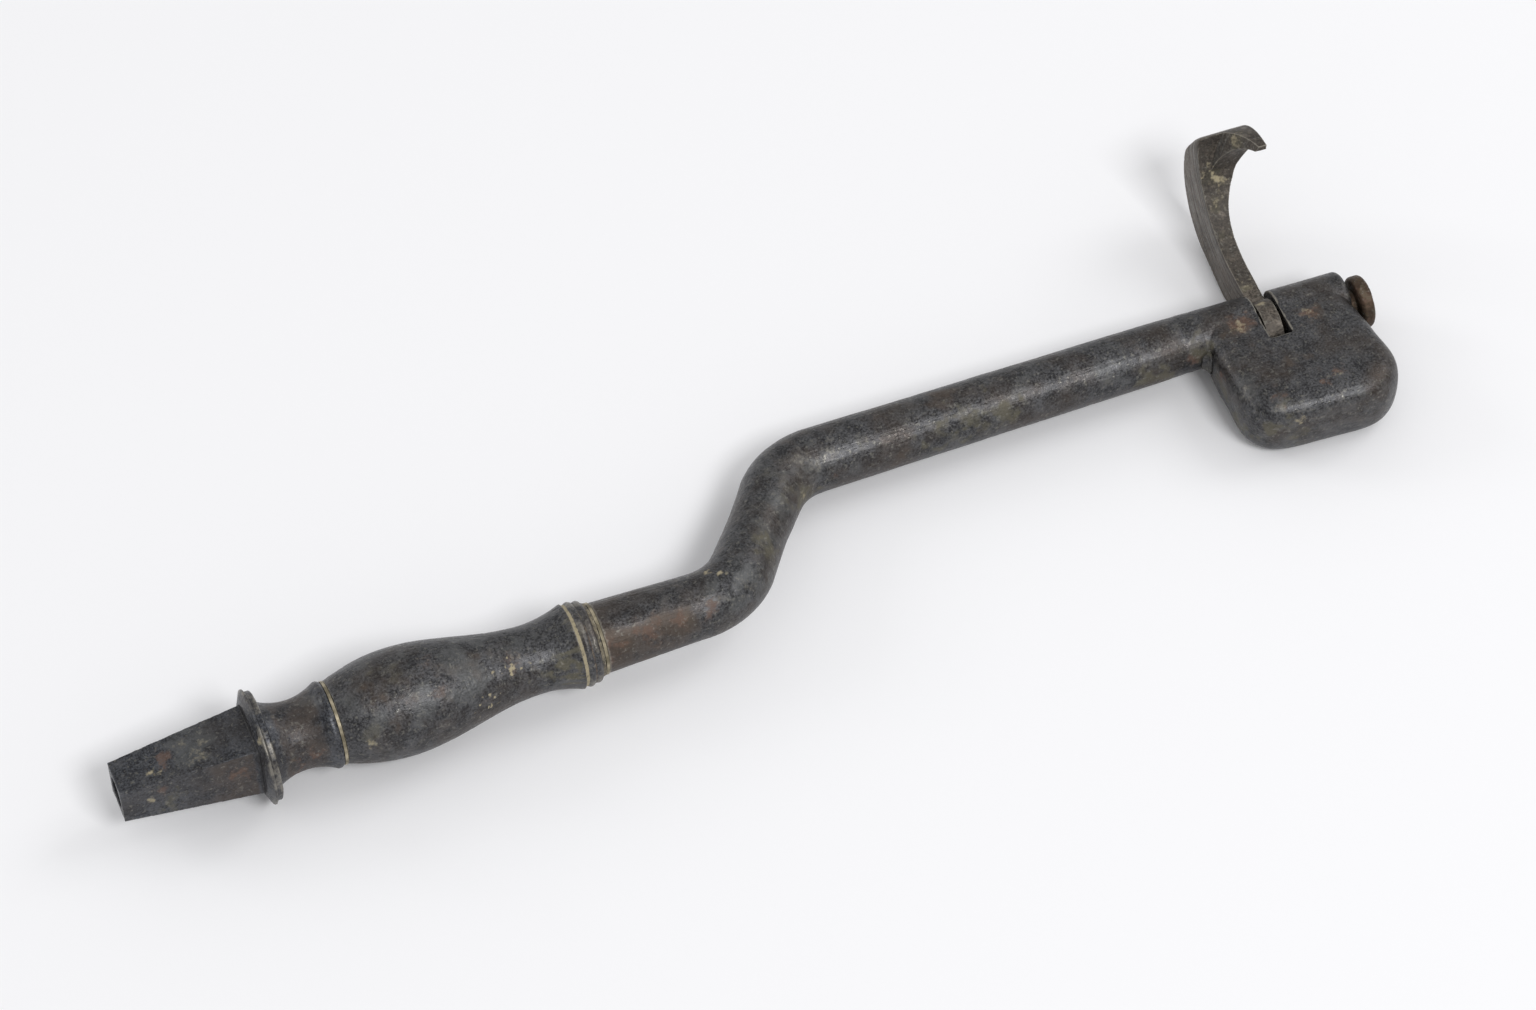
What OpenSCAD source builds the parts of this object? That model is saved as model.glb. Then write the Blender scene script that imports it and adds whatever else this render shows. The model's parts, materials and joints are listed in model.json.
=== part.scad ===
// Dental key without its cross handle: forged and turned iron, cranked shank, bolster with swinging claw.
// Millimetres, Z up. The long axis of the grip is the X axis.
// The origin is the middle of the tang's free end, at the mouth of the handle screw's hole.

/* [Tang] */
// length of the square tang, free end to flange
tang_len = 16.2; // [10:0.1:30]
// side of the square at the free end
tang_end_w = 5; // [4:0.1:9]
// side of the square at the flange
tang_root_w = 7.6; // [5:0.1:9]
// turn of the square about the long axis, degrees
tang_roll = 6; // [0:1:45]
// radius of the tapped hole in the free end
handle_hole_r = 1.8; // [0.8:0.05:2]
// depth of the tapped hole
handle_hole_depth = 9; // [4:0.5:14]

/* [Flange, neck and collar] */
// radius of the flange that the handle seats against
flange_r = 6.9; // [6:0.1:10]
// thickness of the flange from the tang to the neck
flange_t = 1.75; // [1.5:0.05:3]
// radius where the bevel on the tang side starts
flange_face_r = 5.6; // [5:0.1:8]
// length of that bevel
flange_bevel = 0.6; // [0.3:0.05:1]
// width of the rim
flange_rim = 0.25; // [0.1:0.05:0.6]
// depth of the step behind the rim
flange_step = 0.35; // [0.1:0.05:0.5]
// radius at the neck's hollow
neck_r = 4.2; // [3.4:0.1:5]
// length of the hollow
neck_len = 7.1; // [4:0.1:12]
// radius of the collar's lip
collar_r = 5.2; // [4.6:0.1:6.4]
// length of the collar after the hollow
collar_t = 0.75; // [0.4:0.05:2]
// fall of the collar towards the grip
collar_fall = 0.22; // [0.1:0.02:0.5]

/* [Grip] */
// length of the turned grip, beads included
grip_len = 31.75; // [24:0.25:45]
// radius where the grip leaves the collar
grip_start_r = 4.95; // [4.2:0.05:6]
// largest radius of the belly
grip_belly_r = 6.45; // [5.5:0.05:9]
// distance of the belly from the collar
grip_belly_at = 8; // [5:0.5:12]
// smallest radius of the waist
grip_waist_r = 4.2; // [3.8:0.05:5.5]
// distance of the waist from the collar
grip_waist_at = 24; // [16:0.5:27]
// radius of the lip before the beads
grip_lip_r = 5.15; // [4.8:0.05:6.5]
// width of the lip's rim
grip_lip_w = 0.15; // [0.1:0.05:0.4]
// length taken by the two beads
bead_run = 2.9; // [2.4:0.1:4.5]
// radius of a bead's rounding
bead_r = 0.5; // [0.3:0.02:0.7]
// fall from one bead to the next
bead_fall = 0.18; // [0:0.02:0.4]
// depth of the grooves below the lip
bead_depth = 0.7; // [0.4:0.05:1]

/* [Shank] */
// radius where the shank leaves the beads
shank_r_grip = 4.3; // [3.6:0.05:5]
// radius in the two bends
shank_r_crank = 4; // [3.5:0.05:4.8]
// radius in the middle of the crank's leg
shank_r_leg = 3.75; // [3.2:0.05:4.6]
// radius where the shank meets the bolster
shank_r_end = 3.65; // [3.4:0.05:4.6]
// straight run from the beads to the crank
shank_run_in = 12.6; // [6:0.1:25]
// straight run from the crank to the bolster
shank_run_out = 49.8; // [30:0.1:90]
// turn of each crank bend, degrees
crank_angle = 52.5; // [35:0.5:70]
// radius of each bend at the middle of the bar
crank_bend_r = 8.5; // [6:0.25:12]
// distance between the two axes of the shank
crank_offset = 16.2; // [14:0.1:22]
// slope of the crank below the level, degrees
crank_drop = 7; // [0:0.5:12]

/* [Bolster] */
// turn of the bolster against the shank, degrees
bolster_set = 1.5; // [0:0.1:4]
// radius of the barrel behind the slot
barrel_r = 3.55; // [3.4:0.05:4.4]
// radius of the barrel in front of the slot
barrel_fore_r = 3.4; // [3.4:0.05:4.4]
// length of the barrel
barrel_len = 19.5; // [17:0.1:28]
// rounding of the barrel's fore end
barrel_edge_r = 0.8; // [0.2:0.1:1.4]
// reach of the pad in front of the shank's axis
pad_reach = 17.6; // [15:0.1:22]
// height of the pad's top above the shank's axis
pad_top = 4.4; // [4:0.1:6]
// half of the pad's thickness at the shank's axis
pad_half = 3.3; // [3:0.05:3.3]
// distance of the pad's rear face from the barrel's rear end
pad_set = 0.1; // [0.05:0.05:1]
// slant of the pad's rear face, degrees
pad_rear_slant = 0.5; // [0:0.5:8]
// slant of the pad's front face, degrees
pad_front_slant = 2; // [0:0.5:8]
// swell of the pad's fore end beyond the barrel
pad_swell = 1.5; // [0.5:0.1:2.5]
// rounding of the pad's edges, top and bottom
pad_edge_r = 2.5; // [1.5:0.1:2.5]
// rounding of the rear front corner
pad_rear_r = 5.3; // [5.2:0.1:7]
// rounding of the fore front corner
pad_fore_r = 5.6; // [5.2:0.1:8]
// radius of the brazed fillet behind the pad
fillet_r = 1; // [0.5:0.1:1.6]
// sweep of that fillet round the shank, degrees
fillet_sweep = 60; // [40:5:80]
// length that the fillet runs into the pad
fillet_back = 0.5; // [0.2:0.1:0.8]

/* [Claw] */
// distance of the slot from the barrel's rear end
slot_at = 7.4; // [6:0.1:12]
// width of the slot
slot_w = 2.8; // [2:0.1:4]
// distance of the pivot in front of the shank's axis
pivot_in = 1.35; // [0:0.05:1.6]
// radius of the claw's eye
claw_eye_r = 3.6; // [3:0.1:4.5]
// thickness of the claw's arm
claw_t = 2.2; // [1.5:0.1:2.6]
// play between the claw and the slot's rear wall
claw_rear_play = 0.15; // [0.05:0.05:0.3]
// gap between the eye and the bottom of the slot
claw_eye_gap = 0.3; // [0.3:0.05:1]
// height of the arm's upper face above the pivot
arm_top = 1.55; // [0.5:0.05:2.2]
// distance from the pivot to the arm's lowest place
arm_low_at = 10; // [7:0.5:12]
// gap between the claw's back and the surface the key lies on
claw_lift = 0.15; // [0.05:0.05:1]
// distance from the pivot to the middle of the hook
hook_at = 14.6; // [12:0.1:18]
// height of the hook's middle above the pivot
hook_up = 5.6; // [4.5:0.1:7]
// radius of the hook's back
hook_r = 9.55; // [8.5:0.05:12]
// radius of the hook's throat
throat_r = 12.5; // [11:0.1:16]
// distance from the pivot to the foot of the throat
throat_at = 8.6; // [7:0.1:11]
// radius under the beak
beak_r = 6.1; // [5:0.1:7.5]
// distance of that rounding's middle behind the hook's middle
beak_back = 1.25; // [0.5:0.05:2.5]
// height of that rounding's middle above the hook's middle
beak_up = 3; // [1.5:0.05:3.5]
// distance of the beak's end from the hook's middle
beak_end = 0.9; // [0:0.1:2]
// width that the hook gains towards its beak
claw_spread = 4.4; // [1:0.1:6]
// height above the pivot at which the hook is widest
spread_at = 12.6; // [10:0.1:15]
// distance of the fork's bottom from the claw's rear face
fork_in = 1.75; // [0.8:0.05:2]
// place of the fork's bottom round the throat, degrees
fork_at = 24; // [20:1:40]
// slant of the fork's side, degrees
fork_slant = 27; // [10:1:40]

/* [Pivot screw] */
// radius of the screw's head
head_r = 3.3; // [2.5:0.05:4]
// thickness of the head
head_t = 1.85; // [1.2:0.1:3]
// rounding of the head's edges
head_edge_r = 0.6; // [0.2:0.05:1]
// gap under the head
head_gap = 0.55; // [0.1:0.05:1]
// radius of the plain journal
journal_r = 1.75; // [1.2:0.05:2.1]
// radius of the threaded end
thread_r = 1.5; // [1:0.05:1.7]
// length of the threaded end
thread_len = 2.9; // [2:0.1:4]
// width and depth of the driver slot
driver_slot_w = 0.8; // [0.5:0.05:1.2]
// length of the driver slot, which stops short of the rim
driver_slot_len = 4.4; // [2:0.1:4.4]

/* [Joints] */
// radius of the tang's spigot in the grip
spigot_r = 2.6; // [2:0.1:3.2]
// length of the spigot
spigot_len = 8.8; // [5:0.1:11]
// radius of the shank's tenon in the grip
tenon_r = 2.9; // [2.2:0.1:3.3]
// length of that tenon
tenon_len = 8.7; // [5:0.1:11]
// radius of the shank's tenon in the bolster
end_tenon_r = 2.6; // [1.8:0.1:2.9]
// length of that tenon
end_tenon_len = 3.6; // [2.5:0.1:4.4]
// room for brazing metal round a spigot or tenon
braze_gap = 0.05; // [0.02:0.01:0.1]
// width of a brazed seam
seam_t = 0.35; // [0.2:0.05:0.6]
// height of a brazed seam above the bar beside it
seam_proud = 0.06; // [0:0.01:0.2]
// running clearance round the screw
run_gap = 0.05; // [0.02:0.01:0.1]
// least metal between the end tenon and the screw
wall = 0.6; // [0.4:0.1:1]

/* [Hidden] */
// stations along the key
x_flange = tang_len;
x_neck = x_flange + flange_t;
x_collar = x_neck + neck_len;
x_collar_end = x_collar + collar_t;
x_grip = x_collar_end + seam_t;
x_lip = x_grip + grip_len - bead_run;
x_grip_end = x_grip + grip_len;
x_shank = x_grip_end + seam_t;
x_crank = x_shank + shank_run_in;
crank_leg = (crank_offset - 2 * crank_bend_r * (1 - cos(crank_angle))) / sin(crank_angle);
crank_len = 2 * crank_bend_r * sin(crank_angle) + crank_leg * cos(crank_angle);
x_crank_end = x_crank + crank_len;
x_bolster = x_crank_end + shank_run_out;
// axis of the outer shank
y_out = crank_offset * cos(crank_drop);
z_out = -crank_offset * sin(crank_drop);
// stations along the bolster, from its rear end
x_slot_end = slot_at + slot_w;
x_claw = slot_at + claw_rear_play;
x_head = barrel_len + head_gap;
thread_run = min(thread_len, slot_at - end_tenon_len - wall);
slot_bottom = -pivot_in - claw_eye_r - claw_eye_gap;
// the flange, the pad and the claw's back lie on one level
pad_bottom = -flange_r - z_out;
claw_low = pad_bottom + claw_lift;
// hollow of the neck
neck_sag = collar_r - neck_r;
neck_arc_r = (pow(neck_len / 2, 2) + pow(neck_sag, 2)) / (2 * neck_sag);
// roundings stand this much proud of the flats that they run into
skin = 0.02;
// length that joined bars run into each other
lap = 0.3;
// last part of the shank, which follows the turn of the bolster
shank_land = fillet_r + 1;
// fore front corner of the pad and the direction out of its fore face, seen from above
pad_fore = [barrel_len + pad_swell - pad_fore_r, -pad_reach + pad_fore_r];
fore_turn = tangent_dir(pad_fore, pad_fore_r, [barrel_len, -barrel_fore_r], 0, -1);
to_fore = [cos(fore_turn), sin(fore_turn)];
fore_foot = [barrel_len - barrel_fore_r * tan(fore_turn), 0];
// rear front corner of the pad and the direction out of its rear and front faces
to_front = [-sin(pad_front_slant), -cos(pad_front_slant)];
to_rear = [-cos(pad_rear_slant), -sin(pad_rear_slant)];
pad_down = [sin(pad_rear_slant), -cos(pad_rear_slant)];
rear_foot = [pad_set, 0];
pad_run = (pad_fore_r - pad_rear_r + pad_rear_r * (to_rear * to_front) - (rear_foot - pad_fore) * to_front)
    / (pad_down * to_front);
pad_rear = rear_foot + pad_run * pad_down - pad_rear_r * to_rear;
// middles of the hook's three circles, seen along the pivot
hook_mid = [hook_at, hook_up];
throat_mid = [throat_at, arm_top + throat_r - skin];
beak_mid = hook_mid + [-beak_back, beak_up];
curve_steps = 16;
far = 60;
$fn = 96;

// turns a profile drawn as (radius, length) about the X axis
module turned() {
    rotate([90, 0, 90])
        rotate_extrude()
            children();
}

// round bar along X from x to x + len
module bar(x, len, r1, r2) {
    translate([x, 0, 0])
        rotate([0, 90, 0])
            cylinder(h = len, r1 = r1, r2 = r2);
}

// carries a shape from the rear end of the barrel's axis to its place
module on_barrel() {
    translate([x_bolster - shank_land, y_out, z_out])
        rotate([0, 0, -bolster_set])
            translate([shank_land, 0, 0])
                children();
}

// carries a shape from the pivot's axis to its place
module on_pivot() {
    on_barrel()
        translate([0, -pivot_in, 0])
            children();
}

// turns a profile drawn as (y, z) into a slab that stands across X
module across(x, len) {
    translate([x, 0, 0])
        rotate([90, 0, 90])
            linear_extrude(height = len)
                children();
}

// turns a profile drawn as (x, z) into a slab that runs along Y
module along() {
    translate([0, far / 2, 0])
        rotate([90, 0, 0])
            linear_extrude(height = far)
                children();
}

// turns a profile drawn as (x, y) into an upright slab
module upright() {
    translate([0, 0, -far / 2])
        linear_extrude(height = far)
            children();
}

// point on circle c of radius r in the direction of angle a
function rim(c, r, a) = [c[0] + r * cos(a), c[1] + r * sin(a)];
// direction of the outer tangent's normal between two circles, seen from the first
function tangent_dir(c1, r1, c2, r2, side) =
    atan2(c2[1] - c1[1], c2[0] - c1[0]) + side * acos((r1 - r2) / norm(c2 - c1));

// flat tapered face pair of the tang
module tang_wedge() {
    polygon([
        [0, -tang_end_w / 2],
        [tang_len + flange_bevel, -tang_root_w / 2],
        [tang_len + flange_bevel, tang_root_w / 2],
        [0, tang_end_w / 2]
    ]);
}

// outline of flange, neck and collar
module tang_profile() {
    rim_at = x_flange + flange_bevel;
    rim_end = rim_at + flange_rim;
    difference() {
        union() {
            polygon([
                [0, x_flange],
                [flange_face_r, x_flange],
                [flange_r, rim_at],
                [flange_r, rim_end],
                [flange_r - flange_step, rim_end + flange_step / 2],
                [flange_r - flange_step, x_neck - flange_step / 2],
                [flange_r - 2 * flange_step, x_neck],
                [0, x_neck]
            ]);
            translate([0, x_neck])
                square([collar_r, neck_len]);
            polygon([
                [0, x_collar],
                [collar_r, x_collar],
                [collar_r, x_collar + collar_t / 2],
                [collar_r - collar_fall, x_collar_end],
                [0, x_collar_end]
            ]);
        }
        intersection() {
            translate([neck_r + neck_arc_r, x_neck + neck_len / 2])
                circle(neck_arc_r);
            translate([0, x_neck])
                square([far, neck_len]);
        }
    }
}

// square tang, flange, neck, collar and the spigot inside the grip
module tang() {
    color([0.28, 0.28, 0.29])
    difference() {
        union() {
            rotate([-tang_roll, 0, 0])
                intersection() {
                    upright()
                        tang_wedge();
                    along()
                        tang_wedge();
                }
            turned()
                tang_profile();
            bar(x_collar_end, spigot_len, spigot_r, spigot_r);
        }
        bar(-1, handle_hole_depth + 1, handle_hole_r, handle_hole_r);
    }
}

// ring of brazing metal from a spigot's surface outwards
module seam_ring(x, inner_r, outer_r) {
    turned()
        translate([inner_r + braze_gap, x])
            square([outer_r + seam_proud - inner_r - braze_gap, seam_t]);
}

// ring of brazing metal between collar and grip
module collar_seam() {
    color([0.72, 0.62, 0.38])
    seam_ring(x_collar_end, spigot_r, grip_start_r);
}

// radius of the grip a distance s from the collar
function grip_r(s) =
    s < grip_belly_at
    ? grip_belly_r - (grip_belly_r - grip_start_r) * pow(1 - s / grip_belly_at, 2)
    : s < grip_waist_at
    ? grip_waist_r + (grip_belly_r - grip_waist_r)
        * (1 + cos(180 * (s - grip_belly_at) / (grip_waist_at - grip_belly_at))) / 2
    : grip_waist_r + (grip_lip_r - grip_waist_r)
        * pow((s - grip_waist_at) / (x_lip - x_grip - grip_waist_at), 2);

// outline of the baluster and its beads
module grip_profile() {
    turn_len = x_lip - x_grip;
    steps = curve_steps * 2;
    core_r = grip_lip_r - bead_depth;
    polygon(concat(
        [[0, x_grip]],
        [for (i = [0:steps]) [grip_r(turn_len * i / steps), x_grip + turn_len * i / steps]],
        [
            [grip_lip_r, x_lip + grip_lip_w],
            [core_r, x_lip + 2 * grip_lip_w],
            [core_r, x_grip_end],
            [0, x_grip_end]
        ]
    ));
    for (i = [0:1])
        translate([grip_lip_r - bead_r - i * bead_fall, x_lip + bead_run * (i + 1) / 3])
            circle(r = bead_r);
}

// turned baluster with lip and beads, bored for the spigot and the tenon
module grip() {
    color([0.30, 0.29, 0.28])
    difference() {
        turned()
            grip_profile();
        bar(x_grip - 1, spigot_len - seam_t + braze_gap + 1, spigot_r + braze_gap, spigot_r + braze_gap);
        bar(x_shank - tenon_len - braze_gap, tenon_len + 1, tenon_r + braze_gap, tenon_r + braze_gap);
    }
}

// ring of brazing metal between the last bead and the shank
module bead_seam() {
    color([0.70, 0.62, 0.42])
    seam_ring(x_grip_end, tenon_r, shank_r_grip);
}

// one bend of the crank: starts along X and turns towards Y
module crank_bend() {
    translate([0, crank_bend_r, 0])
        rotate([0, 0, -90])
            rotate_extrude(angle = crank_angle)
                translate([crank_bend_r, 0])
                    circle(r = shank_r_crank);
}

// straight leg between the bends, drawn thinner in the middle by the bending
module crank_waist() {
    half = crank_leg / 2 + lap;
    bar(-lap, half, shank_r_crank - skin, shank_r_leg);
    bar(half - lap, half, shank_r_leg, shank_r_crank - skin);
}

// cranked bar with a tenon at each end
module shank() {
    color([0.27, 0.27, 0.28])
    union() {
        bar(x_shank - tenon_len, tenon_len, tenon_r, tenon_r);
        bar(x_shank, shank_run_in + lap, shank_r_grip, shank_r_crank - skin);
        rotate([-crank_drop, 0, 0])
            translate([x_crank, 0, 0]) {
                crank_bend();
                translate([crank_bend_r * sin(crank_angle), crank_bend_r * (1 - cos(crank_angle)), 0])
                    rotate([0, 0, crank_angle])
                        crank_waist();
                translate([crank_len, crank_offset, 0])
                    rotate([0, 0, 180])
                        crank_bend();
            }
        translate([0, y_out, z_out])
            bar(x_crank_end - lap, shank_run_out - shank_land + 2 * lap, shank_r_crank - skin, shank_r_end);
        on_barrel() {
            bar(-shank_land, shank_land, shank_r_end + seam_proud, shank_r_end + seam_proud);
            bar(0, end_tenon_len, end_tenon_r, end_tenon_r);
        }
    }
}

// turns a profile drawn as (height above the shank, length) part of the way round the shank's end
module round_shank_end() {
    rotate([0, -90, 0])
        rotate([0, 0, -90 - fillet_sweep / 2])
            rotate_extrude(angle = fillet_sweep)
                translate([shank_r_end + seam_proud, 0])
                    children();
}

// fillet of brazing metal in the corner between the shank and the pad
module bolster_seam() {
    color([0.55, 0.50, 0.36])
    on_barrel()
        round_shank_end()
            difference() {
                translate([0, -fillet_back])
                    square([fillet_r, fillet_back + fillet_r]);
                translate([fillet_r, fillet_r])
                    circle(r = fillet_r - skin / 10);
            }
}

// barrel in front of the slot with its rounded end, drawn as (radius, length)
module barrel_end() {
    polygon([
        [0, x_slot_end - lap],
        [barrel_fore_r, x_slot_end - lap],
        [barrel_fore_r, barrel_len - barrel_edge_r],
        [barrel_fore_r - barrel_edge_r, barrel_len],
        [0, barrel_len]
    ]);
    translate([barrel_fore_r - barrel_edge_r, barrel_len - barrel_edge_r])
        circle(r = barrel_edge_r);
}

// outline of the pad seen from above, drawn in by d and with its corners cut off, as (x, y)
function pad_outline(d) = [
    rear_foot - d * to_rear,
    pad_rear + (pad_rear_r - d) * to_rear,
    pad_rear + (pad_rear_r - d) * to_front,
    pad_fore + (pad_fore_r - d) * to_front,
    pad_fore + (pad_fore_r - d) * to_fore,
    fore_foot - d * to_fore
];

// lean that brings the pad's front edge to height h above the shank's axis
function pad_lean(h) =
    asin((h - pad_edge_r) / norm([pad_reach - pad_edge_r, pad_half - pad_edge_r]))
    - atan2(pad_half - pad_edge_r, pad_reach - pad_edge_r);

// rounded edge of the pad between two points seen from above
module pad_edge(from, to) {
    r = pad_edge_r - skin;
    translate([from[0], from[1], pad_half - pad_edge_r])
        rotate([0, 0, atan2(to[1] - from[1], to[0] - from[0])])
            bar(-lap, norm(to - from) + 2 * lap, r, r);
}

// front corner of the pad: a disc of radius r with a rounded upper edge
module pad_corner(mid, r) {
    translate(mid)
        rotate_extrude() {
            polygon([
                [0, -pad_reach],
                [r, -pad_reach],
                [r, pad_half - pad_edge_r],
                [r - pad_edge_r, pad_half],
                [0, pad_half]
            ]);
            translate([r - pad_edge_r, pad_half - pad_edge_r])
                circle(r = pad_edge_r);
        }
}

// pad with a level top that is rounded along its outline
module pad_block() {
    edge = pad_outline(pad_edge_r);
    translate([0, 0, -pad_reach])
        linear_extrude(height = pad_reach + pad_half - pad_edge_r)
            polygon(pad_outline(2 * skin));
    translate([0, 0, -pad_reach])
        linear_extrude(height = pad_reach + pad_half - 2 * skin)
            polygon(edge);
    for (i = [0, 2, 4])
        pad_edge(edge[i], edge[i + 1]);
    pad_corner(pad_rear, pad_rear_r);
    pad_corner(pad_fore, pad_fore_r);
}

// half of the pad above its middle plane, which thickens towards the front
module pad_upper() {
    intersection() {
        rotate([-(pad_lean(pad_top) + pad_lean(-pad_bottom)) / 2, 0, 0])
            pad_block();
        translate([-far / 2, -far / 2, 0])
            cube(far);
    }
}

// both halves of the pad, turned so that the lower one reaches the level the key lies on
module pad() {
    rotate([(pad_lean(-pad_bottom) - pad_lean(pad_top)) / 2, 0, 0])
        for (side = [0, 1])
            mirror([0, 0, side])
                pad_upper();
}

// barrel with slot and holes, and the pad that presses on the gum
module bolster() {
    color([0.26, 0.26, 0.28])
    on_barrel()
    difference() {
        union() {
            bar(0, x_slot_end - lap, barrel_r, barrel_r);
            turned()
                barrel_end();
            pad();
        }
        translate([slot_at, slot_bottom, -far / 2])
            cube([slot_w, far, far]);
        round_shank_end()
            translate([0, -fillet_back])
                square([fillet_r, fillet_back + 1]);
        bar(-1, end_tenon_len + braze_gap + 1, end_tenon_r + braze_gap, end_tenon_r + braze_gap);
        translate([0, -pivot_in, 0]) {
            bar(x_slot_end - lap, far, journal_r + run_gap, journal_r + run_gap);
            bar(slot_at - thread_run - run_gap, thread_run + 1, thread_r + run_gap, thread_r + run_gap);
        }
    }
}

// eye, arm and back of the claw seen along the pivot, drawn as (y, z)
module claw_arm() {
    low = [arm_low_at, claw_low];
    circle(r = claw_eye_r);
    polygon([
        [0, arm_top],
        rim([0, 0], claw_eye_r - skin, tangent_dir([0, 0], claw_eye_r, low, 0, -1)),
        low,
        rim(hook_mid, hook_r - skin, tangent_dir(low, 0, hook_mid, hook_r, -1)),
        [hook_at, arm_top]
    ]);
}

// disc of the hook from the throat's foot outwards, drawn as (y, z)
module hook_disc() {
    intersection() {
        translate(hook_mid)
            circle(r = hook_r);
        translate([throat_at, -far / 2])
            square([far, far]);
    }
}

// width of the hook, drawn as (x, z)
module hook_width() {
    wide = x_claw + claw_t + claw_spread;
    polygon(concat(
        [[x_claw, -far / 2], [x_claw + claw_t, -far / 2]],
        [for (i = [0:curve_steps])
            [x_claw + claw_t + claw_spread * (1 - cos(180 * i / curve_steps)) / 2,
                arm_top + (spread_at - arm_top) * i / curve_steps]],
        [[wide, far / 2], [x_claw, far / 2]]
    ));
}

// side of the fork: everything on the rear side of a slanted face
module fork_side() {
    foot = rim(throat_mid, throat_r, -fork_at);
    translate([x_claw + fork_in, foot[0], foot[1]])
        rotate([fork_at, 0, 0])
            rotate([0, fork_slant, 0])
                translate([-far, -far / 2, -far / 2])
                    cube(far);
}

// open throat of the hook, which leaves the beak standing
module throat() {
    intersection() {
        across(0, far)
            translate(throat_mid)
                circle(r = throat_r);
        union() {
            across(0, far)
                translate(beak_mid)
                    circle(r = beak_r);
            fork_side();
            translate([0, hook_at + beak_end - far, -far / 2])
                cube(far);
        }
    }
}

// swinging claw: eye, arm and forked hook
module claw() {
    color([0.42, 0.39, 0.36])
    on_pivot()
    difference() {
        union() {
            across(x_claw, claw_t)
                claw_arm();
            intersection() {
                across(x_claw - 1, claw_t + claw_spread + 2)
                    hook_disc();
                along()
                    hook_width();
            }
        }
        throat();
        bar(x_claw - 1, claw_t + 2, journal_r + run_gap, journal_r + run_gap);
    }
}

// outline of the screw's head
module head_profile() {
    polygon([
        [0, x_head],
        [head_r - head_edge_r, x_head],
        [head_r, x_head + head_edge_r],
        [head_r, x_head + head_t - head_edge_r],
        [head_r - head_edge_r, x_head + head_t],
        [0, x_head + head_t]
    ]);
    for (x = [x_head + head_edge_r, x_head + head_t - head_edge_r])
        translate([head_r - head_edge_r, x])
            circle(r = head_edge_r);
}

// screw that carries the claw: head, journal, threaded end
module pivot_screw() {
    color([0.30, 0.25, 0.20])
    on_pivot()
    difference() {
        union() {
            turned()
                head_profile();
            bar(slot_at + run_gap, x_head - slot_at - run_gap + lap, journal_r, journal_r);
            bar(slot_at - thread_run, thread_run + run_gap + lap, thread_r, thread_r);
        }
        translate([x_head + head_t - driver_slot_w, -driver_slot_w / 2, -driver_slot_len / 2])
            cube([far, driver_slot_w, driver_slot_len]);
    }
}

tang();
collar_seam();
grip();
bead_seam();
shank();
bolster_seam();
bolster();
claw();
pivot_screw();
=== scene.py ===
# %% [markdown]
# # A dental key of forged iron
# The key is an old hand tool: a square tang for a handle, a turned grip, a cranked shank, and a
# bolster in which a hooked claw swings on a screw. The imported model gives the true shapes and
# places, in metres, and every piece stays in that frame. This lesson wears those shapes down, rusts
# them, and lights them as in a small studio.

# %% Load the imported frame
import json
import math
import bpy
import bmesh
import numpy as np
from mathutils import Matrix, Vector


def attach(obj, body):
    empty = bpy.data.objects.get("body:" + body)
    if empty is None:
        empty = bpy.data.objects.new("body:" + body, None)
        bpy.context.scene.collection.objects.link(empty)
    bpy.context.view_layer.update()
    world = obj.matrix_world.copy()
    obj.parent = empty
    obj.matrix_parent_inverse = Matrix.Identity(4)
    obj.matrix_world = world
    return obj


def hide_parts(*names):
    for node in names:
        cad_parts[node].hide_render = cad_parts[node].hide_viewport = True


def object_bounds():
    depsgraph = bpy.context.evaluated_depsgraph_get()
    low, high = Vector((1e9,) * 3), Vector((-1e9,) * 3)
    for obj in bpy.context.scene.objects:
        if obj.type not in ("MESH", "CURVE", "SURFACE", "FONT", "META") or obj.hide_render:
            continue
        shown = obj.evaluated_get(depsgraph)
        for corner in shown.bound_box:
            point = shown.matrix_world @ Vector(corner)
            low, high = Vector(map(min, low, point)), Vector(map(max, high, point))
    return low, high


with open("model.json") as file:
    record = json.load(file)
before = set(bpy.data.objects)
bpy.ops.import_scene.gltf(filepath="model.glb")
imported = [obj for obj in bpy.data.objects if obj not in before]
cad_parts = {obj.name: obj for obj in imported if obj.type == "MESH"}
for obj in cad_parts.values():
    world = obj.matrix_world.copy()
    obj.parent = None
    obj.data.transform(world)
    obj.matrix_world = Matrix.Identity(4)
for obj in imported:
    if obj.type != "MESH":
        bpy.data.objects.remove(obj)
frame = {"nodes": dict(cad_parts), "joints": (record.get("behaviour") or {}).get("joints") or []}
cad_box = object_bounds()
MM = 0.001
print("nodes", sorted(frame["nodes"]))
print("size in mm", [round((b - a) / MM, 1) for a, b in zip(*cad_box)])

# %% [markdown]
# ## Three small helpers for materials
# A colour is easiest to write as the hex value that a painting program shows, but a shader counts in
# linear light, so one function turns the first into the second. The nodes of a material could be
# wired by hand in the editor. Here a second function adds a node, sets it, links it and hands back
# an output, so that a material is a few short lines and comes out the same on every run. A third
# one starts an empty material.

# %% Colour and node helpers
def paint(hex_value):
    """Linear RGBA of an sRGB hex colour, by the curve of that standard."""
    shares = [int(hex_value[i:i + 2], 16) / 255 for i in (1, 3, 5)]
    return [s / 12.92 if s <= 0.04045 else ((s + 0.055) / 1.055) ** 2.4 for s in shares] + [1]


def add(tree, kind, feeds=(), out=0, **settings):
    """Adds a node, applies its settings, feeds its inputs with links or values, returns an output."""
    node = tree.nodes.new(kind)
    for name, value in settings.items():
        setattr(node, name, value)
    for key, value in dict(feeds).items():
        if isinstance(value, bpy.types.NodeSocket):
            tree.links.new(value, node.inputs[key])
        else:
            node.inputs[key].default_value = value
    return node.outputs[out] if len(node.outputs) else node


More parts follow.
